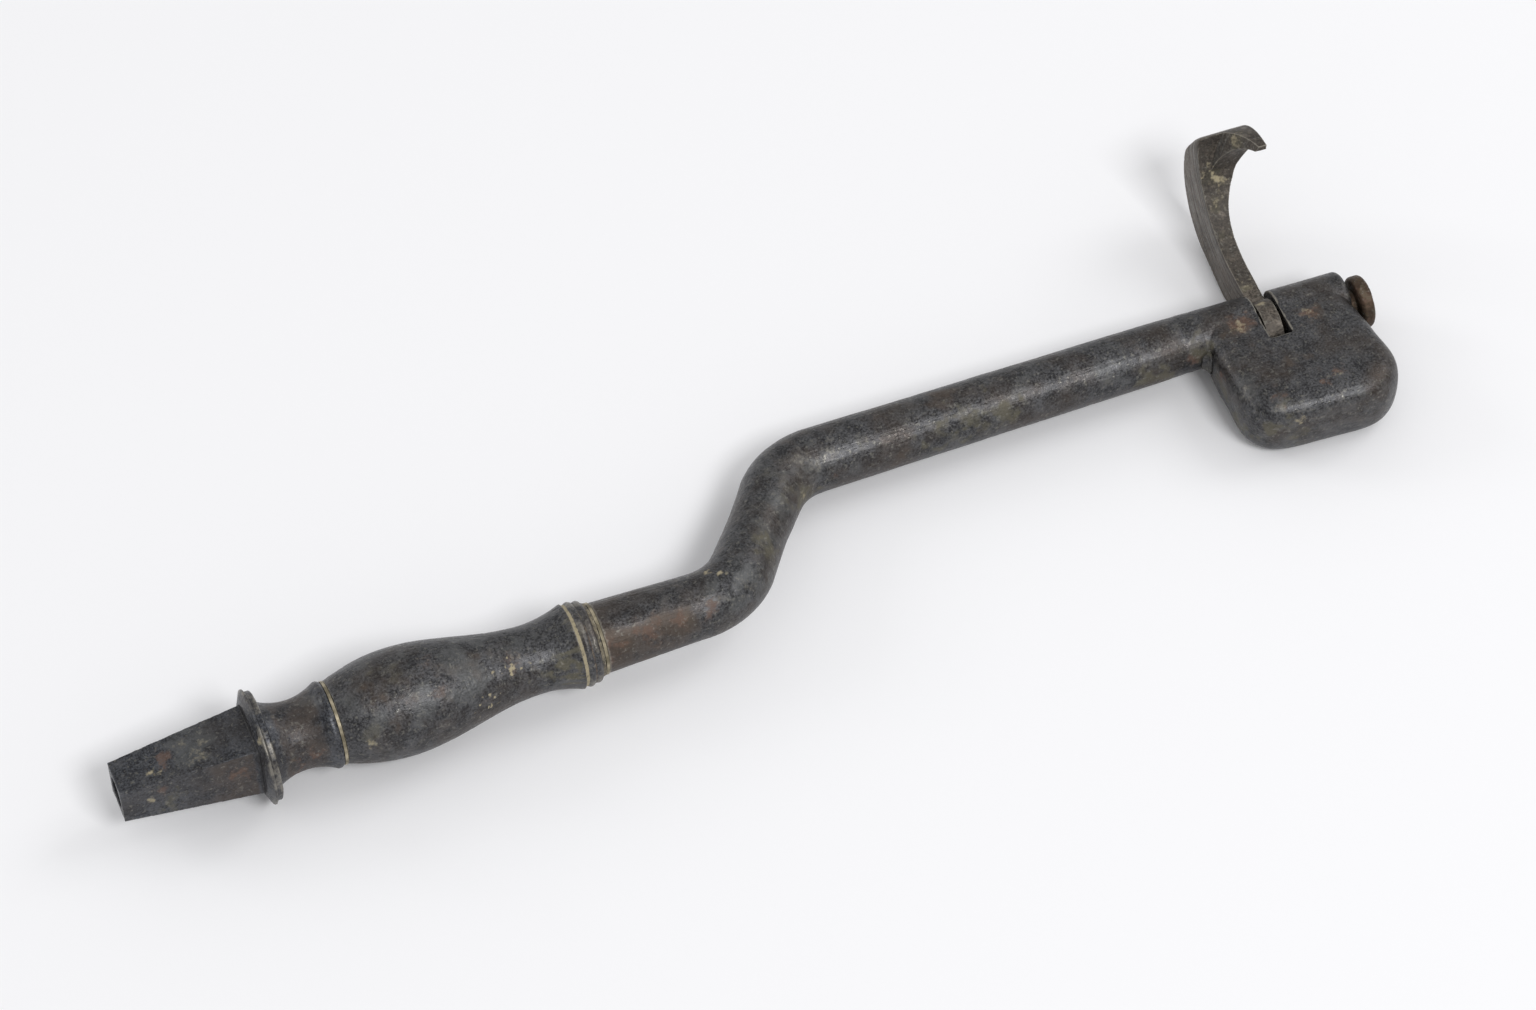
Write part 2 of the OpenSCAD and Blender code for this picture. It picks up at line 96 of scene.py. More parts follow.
def blank_material(name):
    """A material with an empty node tree."""
    material = bpy.data.materials.new(name)
    material.use_nodes = True
    material.node_tree.nodes.clear()
    return material, material.node_tree


print("middle grey in linear light", [round(c, 3) for c in paint("#808080")])

# %% [markdown]
# ## The camera
# The photograph looks down on the key from the front left with a long lens. A camera could be
# nudged into place by eye. This one was fitted to the outline of the key instead, so it is set from
# two angles, a distance, a lens and the point that the picture is centred on. Nothing is shifted.

# %% Camera
PHOTO_WIDTH_PX = 1536
LENS_PX = 5400
SENSOR_MM = 36
VIEW_TURN, VIEW_HEIGHT = math.radians(21.44), math.radians(53.78)
CENTRE_RIGHT_MM, CENTRE_UP_MM, DISTANCE_MM = 74.02, 32.63, 613.0
NEAREST_M, FARTHEST_M = 0.01, 20

right = Vector((math.cos(VIEW_TURN), -math.sin(VIEW_TURN), 0))
back = Vector((
    -math.sin(VIEW_TURN) * math.cos(VIEW_HEIGHT),
    -math.cos(VIEW_TURN) * math.cos(VIEW_HEIGHT),
    math.sin(VIEW_HEIGHT),
))
up = back.cross(right)
camera = bpy.data.objects.new("photo_camera", bpy.data.cameras.new("photo_camera"))
bpy.context.scene.collection.objects.link(camera)
camera.data.sensor_width = SENSOR_MM
camera.data.sensor_fit = "HORIZONTAL"
camera.data.lens = LENS_PX / PHOTO_WIDTH_PX * SENSOR_MM
camera.data.clip_start, camera.data.clip_end = NEAREST_M, FARTHEST_M
place = (right * CENTRE_RIGHT_MM + up * CENTRE_UP_MM + back * DISTANCE_MM) * MM
camera.matrix_world = Matrix.Translation(place) @ Matrix((right, up, back)).transposed().to_4x4()
bpy.context.scene.camera = camera
bpy.context.scene.view_settings.view_transform = "Standard"
print("camera at mm", [round(c / MM) for c in place], "lens", round(camera.data.lens, 1))

# %% [markdown]
# ## The floor
# The key lies on a pale sheet that runs past every edge of the picture. A curved backdrop would do
# as well, but the camera looks down, so one large flat plane at the key's lowest point is enough.
# Matt paper scatters light evenly to all sides, which is what a plain diffuse shader does.

# %% Floor
FLOOR_HALF_M = 3.0
PAPER_WHITE = "#f4f4f6"
floor_level = cad_box[0].z
corners = [(-1, -1), (1, -1), (1, 1), (-1, 1)]
sheet = bpy.data.meshes.new("studio_floor")
sheet.from_pydata(
    [(FLOOR_HALF_M * x, FLOOR_HALF_M * y, floor_level) for x, y in corners], [], [(0, 1, 2, 3)])
floor = bpy.data.objects.new("studio_floor", sheet)
bpy.context.scene.collection.objects.link(floor)
paper, tree = blank_material("matt_white_paper")
coat = add(tree, "ShaderNodeBsdfDiffuse", {"Color": paint(PAPER_WHITE)})
add(tree, "ShaderNodeOutputMaterial", {"Surface": coat})
sheet.materials.append(paper)
print("floor at mm", round(floor_level / MM, 2), "in", PAPER_WHITE)

# %% [markdown]
# ## Studio light
# The shadow in the photograph is wide and faint, as under softboxes in a white room. One bright
# lamp would cut a hard shadow, so an even sky fills it, and four area lights make the long soft
# highlights on the iron. Their levels are set so that a white floor comes out white and a written
# colour comes out about as it is written.

# %% Lights
SKY_LEVEL = 0.55
AIM_M = Vector((0.085, 0.008, 0.0))
SOFTBOXES = {
    # place in m, width and height in m, watts
    "front_softbox": ((0.34, -0.92, 1.19), (0.50, 0.40), 10.0),
    "back_softbox": ((0.10, 1.00, 0.85), (2.40, 1.20), 0.4),
    "left_softbox": ((-0.68, 0.61, 0.46), (0.35, 0.35), 1.3),
    "right_softbox": ((0.80, 0.09, 0.66), (0.45, 0.45), 1.6),
}
sky = bpy.data.worlds.new("studio_sky")
bpy.context.scene.world = sky
sky.use_nodes = True
sky.node_tree.nodes.clear()
glow = add(sky.node_tree, "ShaderNodeBackground", {"Color": paint("#ffffff"), "Strength": SKY_LEVEL})
add(sky.node_tree, "ShaderNodeOutputWorld", {"Surface": glow})
for name, (spot, size, watts) in SOFTBOXES.items():
    lamp = bpy.data.lights.new(name, "AREA")
    lamp.shape = "RECTANGLE"
    lamp.size, lamp.size_y = size
    lamp.energy = watts
    box = bpy.data.objects.new(name, lamp)
    bpy.context.scene.collection.objects.link(box)
    box.location = spot
    box.rotation_euler = (AIM_M - Vector(spot)).to_track_quat("-Z", "Y").to_euler()
    print(name, "watts", watts, "at", spot)

# %% [markdown]
# ## From exact solids to an even skin
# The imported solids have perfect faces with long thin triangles. Old iron is uneven all over, and a
# dent can only be made where there are points to move. Sculpting would add them by hand. Here a copy
# of the piece is remeshed into even little squares, which comes out the same on every run. Round
# pieces take the voxel kind. Pieces with filed arrises take the sharp kind, which keeps them.

# %% Even skin
JOIN_WITHIN_M = 1e-7
OCTREE_DEPTH = 8


def even_skin(node, square_mm, crisp=False):
    """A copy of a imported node, remeshed into squares of about this side, with crisp edges or soft."""
    mesh = frame["nodes"][node].data.copy()
    joined = bmesh.new()
    joined.from_mesh(mesh)
    bmesh.ops.remove_doubles(joined, verts=joined.verts, dist=JOIN_WITHIN_M)
    joined.to_mesh(mesh)
    joined.free()
    mesh.materials.clear()
    piece = bpy.data.objects.new("worn_" + node, mesh)
    bpy.context.scene.collection.objects.link(piece)
    squares = piece.modifiers.new("even squares", "REMESH")
    squares.mode = "SHARP" if crisp else "VOXEL"
    squares.voxel_size = square_mm * MM
    squares.octree_depth = OCTREE_DEPTH
    squares.scale = max(piece.dimensions) / (square_mm * MM * 2 ** OCTREE_DEPTH)
    ready = piece.evaluated_get(bpy.context.evaluated_depsgraph_get())
    piece.data = bpy.data.meshes.new_from_object(ready)
    piece.modifiers.clear()
    piece.data.name = piece.name
    piece.data.shade_smooth()
    print(piece.name, "in squares of", square_mm, "mm:", len(piece.data.polygons), "faces")
    return piece


print("sharp skins divide their length by up to", 2 ** OCTREE_DEPTH)

# %% [markdown]
# ## Points as arrays
# Years of handling have taken the sharpness off every edge. A bevel needs clean edges to follow,
# which an even skin no longer has, so the points are relaxed: each one moves towards the mean of its
# neighbours. Moving in alone would shrink the piece, so a step out follows and it keeps its size.
# All points are moved at once as one array, because a loop over so many would take minutes.

# %% Points
def read_points(mesh):
    """Vertex places in mm."""
    points = np.empty(len(mesh.vertices) * 3)
    mesh.vertices.foreach_get("co", points)
    return points.reshape(-1, 3) / MM


def read_normals(mesh):
    """Vertex normals."""
    normals = np.empty(len(mesh.vertices) * 3)
    mesh.vertex_normals.foreach_get("vector", normals)
    return normals.reshape(-1, 3)


def write_points(mesh, points):
    """Moves the vertices to these places in mm."""
    mesh.vertices.foreach_set("co", (points * MM).ravel())
    mesh.update()


def edge_ends(mesh):
    """The two vertices at the ends of each edge."""
    ends = np.empty(len(mesh.edges) * 2, np.int64)
    mesh.edges.foreach_get("vertices", ends)
    return ends.reshape(-1, 2)


print("points of the packed tang", len(read_points(frame["nodes"]["tang"].data)))

# %% Relaxing
IN_AND_OUT, IN_ONLY = (0.5, -0.52), (0.5,)


def neighbour_mean(points, ends):
    """For each vertex, the mean place of the vertices that it shares an edge with."""
    count = np.bincount(ends.ravel(), minlength=len(points))
    total = np.empty_like(points)
    for axis in range(3):
        across = points[ends[:, ::-1].ravel(), axis]
        total[:, axis] = np.bincount(ends.ravel(), weights=across, minlength=len(points))
    return total / np.maximum(count, 1)[:, None]


def relax(points, ends, rounds, steps=IN_AND_OUT):
    """Moves each vertex towards its neighbours' mean, in the given steps, so many times."""
    for _ in range(rounds):
        for step in steps:
            points = points + step * (neighbour_mean(points, ends) - points)
    return points


print("a round of relaxing steps in by", IN_AND_OUT[0], "and out by", -IN_AND_OUT[1])

# %% [markdown]
# ## Mottling
# Corrosion is never even. Blender's noise nodes serve materials, and its noise module takes one
# point at a time, but dents and layers need a number at every point at once. So a smooth random
# field is made on a lattice, where a fixed hash gives each knot a value that is the same on every
# run, and blots come out at a chosen width in millimetres. Three such fields of falling width are
# turned against each other, so that no grid shows.

# %% Mottle
SEED_SHIFT = 17.31
HASH_PRIMES = (73856093, 19349663, 83492791)
HASH_MIXER = 1274126177
# A turn off all three axes.
TWIST = np.array([[0.36, 0.48, -0.8], [-0.8, 0.6, 0.0], [0.48, 0.64, 0.6]])
# Weight of each field, and how many times finer it is than the first.
FIELDS = ((1.0, 1.0), (0.55, 2.1), (0.3, 4.3))
FIELDS_LEVEL = 1.3


def ease(share):
    """Bends a share from 0 to 1 so that it leaves and arrives gently."""
    return share * share * (3 - 2 * share)


def lattice(points, width, seed):
    """A smooth field from -1 to 1 with blots about width mm across."""
    spread = points / width + seed * SEED_SHIFT
    cell = np.floor(spread).astype(np.int64)
    share = ease(spread - cell)
    field = np.zeros(len(points))
    for corner in np.ndindex(2, 2, 2):
        knot = (cell + corner) * HASH_PRIMES
        # The bits are mixed, and the last 16 become a value from -1 to 1.
        value = knot[:, 0] ^ knot[:, 1] ^ knot[:, 2]
        value = ((value ^ (value >> 13)) * HASH_MIXER) & 0x7FFFFFFF
        value = (value ^ (value >> 15)) & 0xFFFF
        field += (value / 32767.5 - 1) * np.prod(np.where(corner, share, 1 - share), axis=1)
    return field


def mottle(points, width, seed):
    """Three lattices of falling weight and width, each turned against the one before."""
    field = np.zeros(len(points))
    for step, (weight, finer) in enumerate(FIELDS):
        field += weight * lattice(points, width / finer, seed + step)
        points = points @ TWIST
    return field / FIELDS_LEVEL


print("mottle at the origin", mottle(np.zeros((1, 3)), width=1.0, seed=1))

# %% [markdown]
# ## Soft limits and patches
# Rust and residue have soft, ragged limits. Painting them on an image would need every piece
# unwrapped. A patch that is a ball in space needs no unwrapping and shows on each face that it
# reaches. So the patches that can be seen on the real key are placed as soft balls, and the
# mottle breaks up their edges until no ball can be seen. Other blots are strewn at random.

# %% Soft limits and patches
BALL_PULL, RAGGED_PULL, PATCH_FLOOR = 1.5, 0.9, 0.45
SOFT_REACH = 2
BLOT_EDGE = 0.5


def ramp(value, low, high):
    """Smooth step from 0 at low to 1 at high."""
    return ease(np.clip((value - low) / (high - low), 0, 1))


def fade(value, full, none):
    """Smooth step from 1 at full down to 0 at none."""
    return ramp(-value, -none, -full)


def span(value, none, full, still_full, gone):
    """Rises from 0 to 1 between the first two limits and falls to 0 between the last two."""
    return ramp(value, none, full) * fade(value, still_full, gone)


def patches(points, ragged_mm, seed, balls):
    """From 0 to 1, how far inside the nearest of the balls (x, y, z, radius) each point is."""
    inside = np.full(len(points), -1.0)
    for x, y, z, radius in balls:
        away = np.linalg.norm(points - (x, y, z), axis=1)
        inside = np.maximum(inside, 1 - away / (SOFT_REACH * radius))
    ragged = mottle(points, ragged_mm, seed)
    return np.clip(BALL_PULL * inside + RAGGED_PULL * ragged - PATCH_FLOOR, 0, 1)


def all_patches(points, spots):
    """The patches of every row of a table of spots."""
    return {name: patches(points, *row) for name, row in spots.items()}


def strewn(points, width, seed, above):
    """Random blots from 0 to 1 over the whole piece, where the mottle is above a level."""
    return ramp(mottle(points, width, seed), above, above + BLOT_EDGE)


print("halfway up a ramp", ramp(0.5, 0, 1), "and down a fade", fade(0.5, 0, 1))

# %% [markdown]
# ## Layers
# Hands polish what stands proud, dirt settles in what lies deep, and rust, film and residue lie
# where they lie. The deep parts are darkened as painted shade as well, and a few pale patches are
# painted highlights. One material for each would need its borders cut into the mesh. Instead each
# piece keeps, for every point, how much of each layer lies there, from 0 to 1, and the material
# reads that by name. A number before a patch or a blot is the most of the layer that it brings.

# %% Layers
# Rubbed metal with some painted highlights, dirt with painted shade, brown patina, red rust,
# greenish film, pale residue, and grey bloom with some painted sheen.
LAYERS = ("rubbed_and_sheen", "hollow", "brown", "rust", "olive", "chalk", "bloom_and_sheen")


def store(mesh, layer, values):
    """Keeps one value per vertex under a name that a material can read."""
    held = mesh.attributes.get(layer) or mesh.attributes.new(layer, "FLOAT", "POINT")
    held.data.foreach_set("value", np.clip(values, 0, 1).astype(np.float32))


def read_layer(mesh, layer):
    """The values that store() keeps."""
    values = np.empty(len(mesh.vertices), np.float32)
    mesh.attributes[layer].data.foreach_get("value", values)
    return values


def clear_layers(mesh):
    """Sets every layer to 0."""
    for layer in LAYERS:
        store(mesh, layer, np.zeros(len(mesh.vertices)))


def lay(piece, layers):
    """Stores several layers of a piece and prints the mean cover of each."""
    for layer, values in layers.items():
        store(piece.data, layer, values)
    print(piece.name, {layer: round(float(read_layer(piece.data, layer).mean()), 3) for layer in layers})


print("layers", LAYERS)

# %% [markdown]
# ## Ridges, hollows and pits
# Comparing the skin with a smoothed copy of itself tells what stands proud from what lies deep.
# What lies deep is darkened, as dirt and as painted shade.
# A bump in the material could stand for dents, but it leaves the outline smooth. So dents and pits
# are cut into the skin itself, a few hundredths of a millimetre deep where the mottle is deepest,
# and catch the light from every side.

# %% Wear
SMOOTHING_ROUNDS = 14
PROUD_MM, SUNK_MM = (0.015, 0.07), (0.012, 0.06)
PIT_LIMITS, PIT_SEED_STEP = (0.25, 0.6), 5


def wear(piece, dent_mm, dent_width, pit_mm, pit_width, seed, soften=4):
    """Relaxes, dents and pits a piece, stores ridges, and hollows as dirt and painted shade, returns its
    relaxed points and normals.
    """
    mesh = piece.data
    ends = edge_ends(mesh)
    points = relax(read_points(mesh), ends, soften)
    write_points(mesh, points)
    normals = read_normals(mesh)
    smooth = relax(points, ends, SMOOTHING_ROUNDS, steps=IN_ONLY)
    proud = np.einsum("ij,ij->i", points - smooth, normals)
    depth = dent_mm * (0.5 + 0.5 * mottle(points, dent_width, seed))
    depth += pit_mm * ramp(mottle(points, pit_width, seed + PIT_SEED_STEP), *PIT_LIMITS)
    write_points(mesh, points - depth[:, None] * normals)
    clear_layers(mesh)
    store(mesh, "rubbed_and_sheen", ramp(proud, *PROUD_MM))
    # Hollows are darkened, as dirt and as painted shade.
    store(mesh, "hollow", ramp(-proud, *SUNK_MM))
    print(piece.name, "deepest dent in mm", round(float(depth.max()), 3))
    return points, normals


print("a ridge shows from", PROUD_MM[0], "mm proud")

# %% [markdown]
# ## Old iron: specks and relief
# The key was forged and filed from wrought iron, then blackened by handling, oil and age. Close up
# it is full of grains, with hairline scratches along its length where the light rakes it. An image
# of old iron would repeat and would have to be unwrapped, so noises of four sizes make the specks.
# The grains and hairs are drawn about twice as coarse as they are, so that the picture can hold them.

# %% Old iron: specks and relief
SPECKS = {
    # size in mm, detail
    "grain": (0.27, 2.0),
    "grit": (0.48, 3.0),
    "blot": (1.7, 5.0),
    "cloud": (7.0, 4.0),
}
SPECK_ROUGHNESS = 0.62
HAIR_MM, HAIR_LONG_MM, HAIR_DETAIL = 0.26, 3.0, 2.0
RELIEF_PULLS = {"grit": 1.2, "blot": 2.5}
RELIEF_MM, RELIEF_STRENGTH = 0.05, 0.6


def iron_specks(tree, where):
    """Noises of four sizes, which the colour, the gloss and the relief of iron share."""
    return {
        speck: add(tree, "ShaderNodeTexNoise", {
            "Vector": where, "Scale": 1 / (size * MM), "Detail": detail, "Roughness": SPECK_ROUGHNESS})
        for speck, (size, detail) in SPECKS.items()
    }


def iron_relief(tree, where, specks):
    """A fine relief of hairs, grains, grit and shallow blots."""
    drawn_out = add(tree, "ShaderNodeMapping", {"Vector": where, "Scale": (HAIR_MM / HAIR_LONG_MM, 1, 1)})
    hairs = add(tree, "ShaderNodeTexNoise", {
        "Vector": drawn_out, "Scale": 1 / (HAIR_MM * MM), "Detail": HAIR_DETAIL})
    relief = add(tree, "ShaderNodeMath", {0: hairs, 1: specks["grain"]}, operation="ADD")
    for speck, pull in RELIEF_PULLS.items():
        relief = add(tree, "ShaderNodeMath", {0: specks[speck], 1: pull, 2: relief},
                     operation="MULTIPLY_ADD")
    return add(tree, "ShaderNodeBump", {
        "Height": relief, "Strength": RELIEF_STRENGTH, "Distance": RELIEF_MM * MM})


print("specks in mm", {speck: size for speck, (size, detail) in SPECKS.items()})

# %% [markdown]
# ## Old iron: layers on the skin
# Each layer has a colour, a roughness and a share of bare metal of its own: rust and residue are
# matt and hardly metallic, rubbed ridges are paler and glossier. A layer laid on with its plain
# border would look cut out, so a noise is added before the limit is drawn and eats into its edge.

# %% Old iron: layers on the skin
# A Mix node has several inputs of one name, so its sockets are reached by number.
FACTOR, VALUE_A, VALUE_B, COLOUR_A, COLOUR_B, COLOUR_OUT = 0, 2, 3, 6, 7, 2
SPECK_PULL, COVER_FROM, COVER_FULL = 2.2, 0.15, 1.0
FINISHES = (
    # layer, colour, noise that breaks it up, most cover, roughness, metallic
    # Grey bloom, and in a few places a pale painted sheen.
    ("bloom_and_sheen", "#626363", "blot", 0.45, 0.46, 0.60),
    ("brown", "#4c4036", "blot", 0.75, 0.54, 0.45),
    ("olive", "#5c5744", "blot", 0.66, 0.62, 0.15),
    ("rust", "#664a3a", "grit", 0.62, 0.68, 0.05),
    # Dark dirt, and painted shade in hollows, creases and corners.
    ("hollow", "#211e1c", "blot", 0.55, 0.72, 0.15),
    # Pale rubbed metal, and in a few places a painted highlight.
    ("rubbed_and_sheen", "#8f8a80", "grit", 0.70, 0.38, 0.55),
    ("chalk", "#a79c80", "grit", 0.90, 0.80, 0.00),
)


def lay_finishes(tree, specks, colour, rough, metal):
    """Lays every layer over a skin; returns the new colour, roughness and metallic."""
    for layer, tint, speck, most, roughness, metalness in FINISHES:
        laid = add(tree, "ShaderNodeAttribute", attribute_name=layer, out="Fac")
        broken = add(tree, "ShaderNodeMath", {0: specks[speck], 1: SPECK_PULL, 2: laid},
                     operation="MULTIPLY_ADD")
        edge = add(tree, "ShaderNodeMapRange", {
            "Value": broken, "From Min": SPECK_PULL / 2 + COVER_FROM,
            "From Max": SPECK_PULL / 2 + COVER_FULL, "To Max": most}, interpolation_type="SMOOTHSTEP")
        cover = add(tree, "ShaderNodeMath", {0: edge, 1: laid}, operation="MULTIPLY")
        colour = add(tree, "ShaderNodeMix", {FACTOR: cover, COLOUR_A: colour, COLOUR_B: paint(tint)},
                     data_type="RGBA", out=COLOUR_OUT)
        rough = add(tree, "ShaderNodeMix", {FACTOR: cover, VALUE_A: rough, VALUE_B: roughness})
        metal = add(tree, "ShaderNodeMix", {FACTOR: cover, VALUE_A: metal, VALUE_B: metalness})
    return colour, rough, metal


print("finishes", [finish[0] for finish in FINISHES])

# %% [markdown]
# ## Old iron: the material
# Blackened iron is a dark slate skin with a dull sheen, clouded brown where rust has started and
# salted with pale grains. A plain dark metal would look new and wet. So the colour runs between a
# dark and a light tone with the grain, the gloss changes with it, and the layers come on top. One
# recipe serves all iron pieces, each with colours and gloss of its own.

# %% Old iron: the material
GRAIN_PULL, TONE_LIMITS = 1.2, (0.28, 0.74)
CLOUD_LIMITS, CLOUD_MOST = (0.46, 0.68), 0.6
GLOSS_LIMITS = (0.36, 0.64)
SALT_COLOUR, SALT_LIMITS, SALT_MOST = "#7b7972", (0.55, 0.72), 0.6
# Oxide and old oil make the skin less metallic than bare iron.
SKIN_METAL = 0.75


def old_iron(name, dark, light, brown, rough_low, rough_high):
    """Iron that is grained from dark to light, clouded brown, and covered by the stored layers."""
    material, tree = blank_material(name)
    where = add(tree, "ShaderNodeTexCoord", out="Object")
    specks = iron_specks(tree, where)
    grained = add(tree, "ShaderNodeMath", {0: specks["grain"], 1: GRAIN_PULL, 2: specks["blot"]},
                  operation="MULTIPLY_ADD")
    tone = add(tree, "ShaderNodeMapRange", {
        "Value": grained, "From Min": TONE_LIMITS[0] + GRAIN_PULL / 2,
        "From Max": TONE_LIMITS[1] + GRAIN_PULL / 2})
    colour = add(tree, "ShaderNodeMix", {FACTOR: tone, COLOUR_A: paint(dark), COLOUR_B: paint(light)},
                 data_type="RGBA", out=COLOUR_OUT)
    cloud = add(tree, "ShaderNodeMapRange", {
        "Value": specks["cloud"], "From Min": CLOUD_LIMITS[0], "From Max": CLOUD_LIMITS[1],
        "To Max": CLOUD_MOST})
    colour = add(tree, "ShaderNodeMix", {FACTOR: cloud, COLOUR_A: colour, COLOUR_B: paint(brown)},
                 data_type="RGBA", out=COLOUR_OUT)
    rough = add(tree, "ShaderNodeMapRange", {
        "Value": specks["grain"], "From Min": GLOSS_LIMITS[0], "From Max": GLOSS_LIMITS[1],
        "To Min": rough_low, "To Max": rough_high})
    colour, rough, metal = lay_finishes(tree, specks, colour, rough, SKIN_METAL)
    salt = add(tree, "ShaderNodeMapRange", {
        "Value": specks["grit"], "From Min": SALT_LIMITS[0], "From Max": SALT_LIMITS[1],
        "To Max": SALT_MOST}, interpolation_type="SMOOTHSTEP")
    colour = add(tree, "ShaderNodeMix", {FACTOR: salt, COLOUR_A: colour, COLOUR_B: paint(SALT_COLOUR)},
                 data_type="RGBA", out=COLOUR_OUT)
    skin = add(tree, "ShaderNodeBsdfPrincipled", {
        "Base Color": colour, "Roughness": rough, "Metallic": metal,
        "Normal": iron_relief(tree, where, specks)})
    add(tree, "ShaderNodeOutputMaterial", {"Surface": skin})
    print("material", name, len(tree.nodes), "nodes")
    return material


# Forged and blackened: neutral dark grey with a broken sheen.
iron = old_iron(
    "blackened_forged_iron", dark="#303032", light="#5e5e60", brown="#4a4038",
    rough_low=0.28, rough_high=0.54)

# %% [markdown]
# ## The tang
# The tang is the tapered square spike that held a handle, forged in one with its flange, hollow neck
# and collar. Its filed flats meet in real arrises, so it takes the sharp skin, and some more
# relaxing takes the bite off them. The upper face has kept a slate bloom, the front is browner, rust
# has started in the neck, and the flange's rim is rubbed pale.

# %% Tang shape
tang = even_skin("tang", square_mm=0.11, crisp=True)
points, normals = wear(tang, dent_mm=0.05, dent_width=3.5, pit_mm=0.03, pit_width=0.8, seed=11, soften=6)

# %% Tang finish
SQUARE_END_MM, FRONT_BROWN_MM = (15.4, 16.0), (6.0, 13.0)
FLANGE_MM, FLANGE_RIM_MM, NECK_MM = (16.3, 16.7, 17.9, 18.3), (6.0, 6.4), (18.2, 19.4, 23.6, 25.0)
FACING = (0.75, 0.95)
TANG_SPOTS = {
    # ragged edge in mm, seed, and balls as x, y, z and radius in mm
    "bloom_and_sheen": (1.2, 3, [
        (9.6, -0.2, 3.3, 1.9), (8.5, 3.4, 2.8, 1.6), (5.0, 1.5, 2.9, 1.2), (23.7, 0.9, 4.5, 1.4)]),
    "rust": (1.0, 4, [
        (6.0, 0.3, 2.9, 1.2), (13.8, -3.5, 1.2, 1.4), (22.2, -4.1, 1.2, 1.2), (20.7, -4.2, -0.5, 1.4),
        (4.6, -2.7, 1.6, 0.9)]),
    "olive": (1.0, 5, [(9.9, -0.6, 3.3, 1.1), (6.0, -2.9, -0.4, 2.0), (19.6, -3.9, 1.6, 1.2)]),
    "pale_crumbs": (0.5, 6, [
        (4.0, -0.8, 2.9, 0.5), (5.4, -1.0, 3.0, 0.5), (3.5, -2.7, 0.4, 0.5), (16.5, -3.0, 5.6, 0.6)]),
    "pale_smear": (0.9, 62, [(9.8, -0.3, 3.3, 1.5), (8.6, 1.6, 3.1, 0.9)]),
}
x, radius = points[:, 0], np.hypot(points[:, 1], points[:, 2])
on_square = fade(x, *SQUARE_END_MM)
front_face = on_square * ramp(-normals[:, 1], *FACING)
top_face = on_square * ramp(normals[:, 2], *FACING)
in_neck = span(x, *NECK_MM)
flange_rim = span(x, *FLANGE_MM) * ramp(radius, *FLANGE_RIM_MM)
rim_polish = flange_rim * ramp(mottle(points, width=1.6, seed=15), low=-0.6, high=0.4)
spots = all_patches(points, TANG_SPOTS)
lay(tang, {
    "rubbed_and_sheen": 0.25 * read_layer(tang.data, "rubbed_and_sheen") + 0.8 * rim_polish,
    "bloom_and_sheen": (0.4 + 0.5 * top_face) * strewn(points, width=2.6, seed=2, above=0.0) + spots["bloom_and_sheen"],
    "brown": 0.8 * front_face * ramp(x, *FRONT_BROWN_MM) + 0.7 * in_neck,
    "rust": 0.4 * in_neck * strewn(points, width=1.5, seed=14, above=0.1) + 0.9 * spots["rust"],
    "olive": 0.8 * spots["olive"],
    "chalk": 0.9 * spots["pale_crumbs"] + 0.45 * spots["pale_smear"],
})
# Forged, filed flat and oiled: a colder, bluer grey than the rest.
slate_iron = old_iron(
    "slate_blue_forged_iron", dark="#2d2e32", light="#5e6065", brown="#413d3b",
    rough_low=0.28, rough_high=0.54)
tang.data.materials.append(slate_iron)
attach(tang, "stem")
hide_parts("tang")

# %% [markdown]
# ## The grip
# The baluster was turned on a lathe and ends in a lip and two beads. It could be spun again from an
# outline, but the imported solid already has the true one, so it is only worn. Pale residue has filled
# the first groove beside the lip. A pale line in the material would still look hollow, so the floor
# of that groove is raised nearly to the rim and then chalked.

# %% Grip shape
FIRST_GROOVE_MM, FILLED_RADIUS_MM, BORE_CLEAR_MM = (55.04, 55.14, 55.50, 55.60), 4.95, 3.6
grip = even_skin("grip", square_mm=0.147)
points = wear(grip, dent_mm=0.05, dent_width=3.0, pit_mm=0.04, pit_width=1.0, seed=21, soften=3)[0]
x, radius = points[:, 0], np.hypot(points[:, 1], points[:, 2])
outside = radius > BORE_CLEAR_MM
first_groove = outside * span(x, *FIRST_GROOVE_MM)
filled = read_points(grip.data)
growth = 1 + first_groove * np.clip(FILLED_RADIUS_MM - radius, 0, 1) / np.maximum(radius, 1)
filled[:, 1:] *= growth[:, None]
write_points(grip.data, filled)
print("first groove filled at", np.count_nonzero(growth > 1), "points")

# %% Grip grooves and beads
SECOND_GROOVE_MM, LAST_GROOVE_MM = (56.3, 56.42, 56.48, 56.6), (57.36, 57.46)
BEADS_MM, BEAD_TOP_MM = (54.9, 55.1, 57.4, 57.6), (4.72, 4.9)
STREAK_LONG_MM, STREAK_WIDE_DEG = 6, 9
STREAKED_MM, LIP_MM = (49.0, 54.5), 55.1
second_groove = outside * span(x, *SECOND_GROOVE_MM)
last_groove = outside * ramp(x, *LAST_GROOVE_MM)
beads = outside * span(x, *BEADS_MM) * ramp(radius, *BEAD_TOP_MM) * (1 - second_groove)
bead_polish = beads * (0.3 + 0.5 * ramp(mottle(points, width=2.2, seed=63), low=-0.2, high=0.5))
round_angle = np.degrees(np.arctan2(points[:, 2], -points[:, 1]))
streak = mottle(np.c_[x / STREAK_LONG_MM, round_angle / STREAK_WIDE_DEG, 0 * x], width=1.0, seed=8)
streaks = ramp(x, *STREAKED_MM) * ramp(streak, low=-0.1, high=0.5) * outside * (x < LIP_MM)
print("points on the beads", np.count_nonzero(beads), "in streaks", np.count_nonzero(streaks))

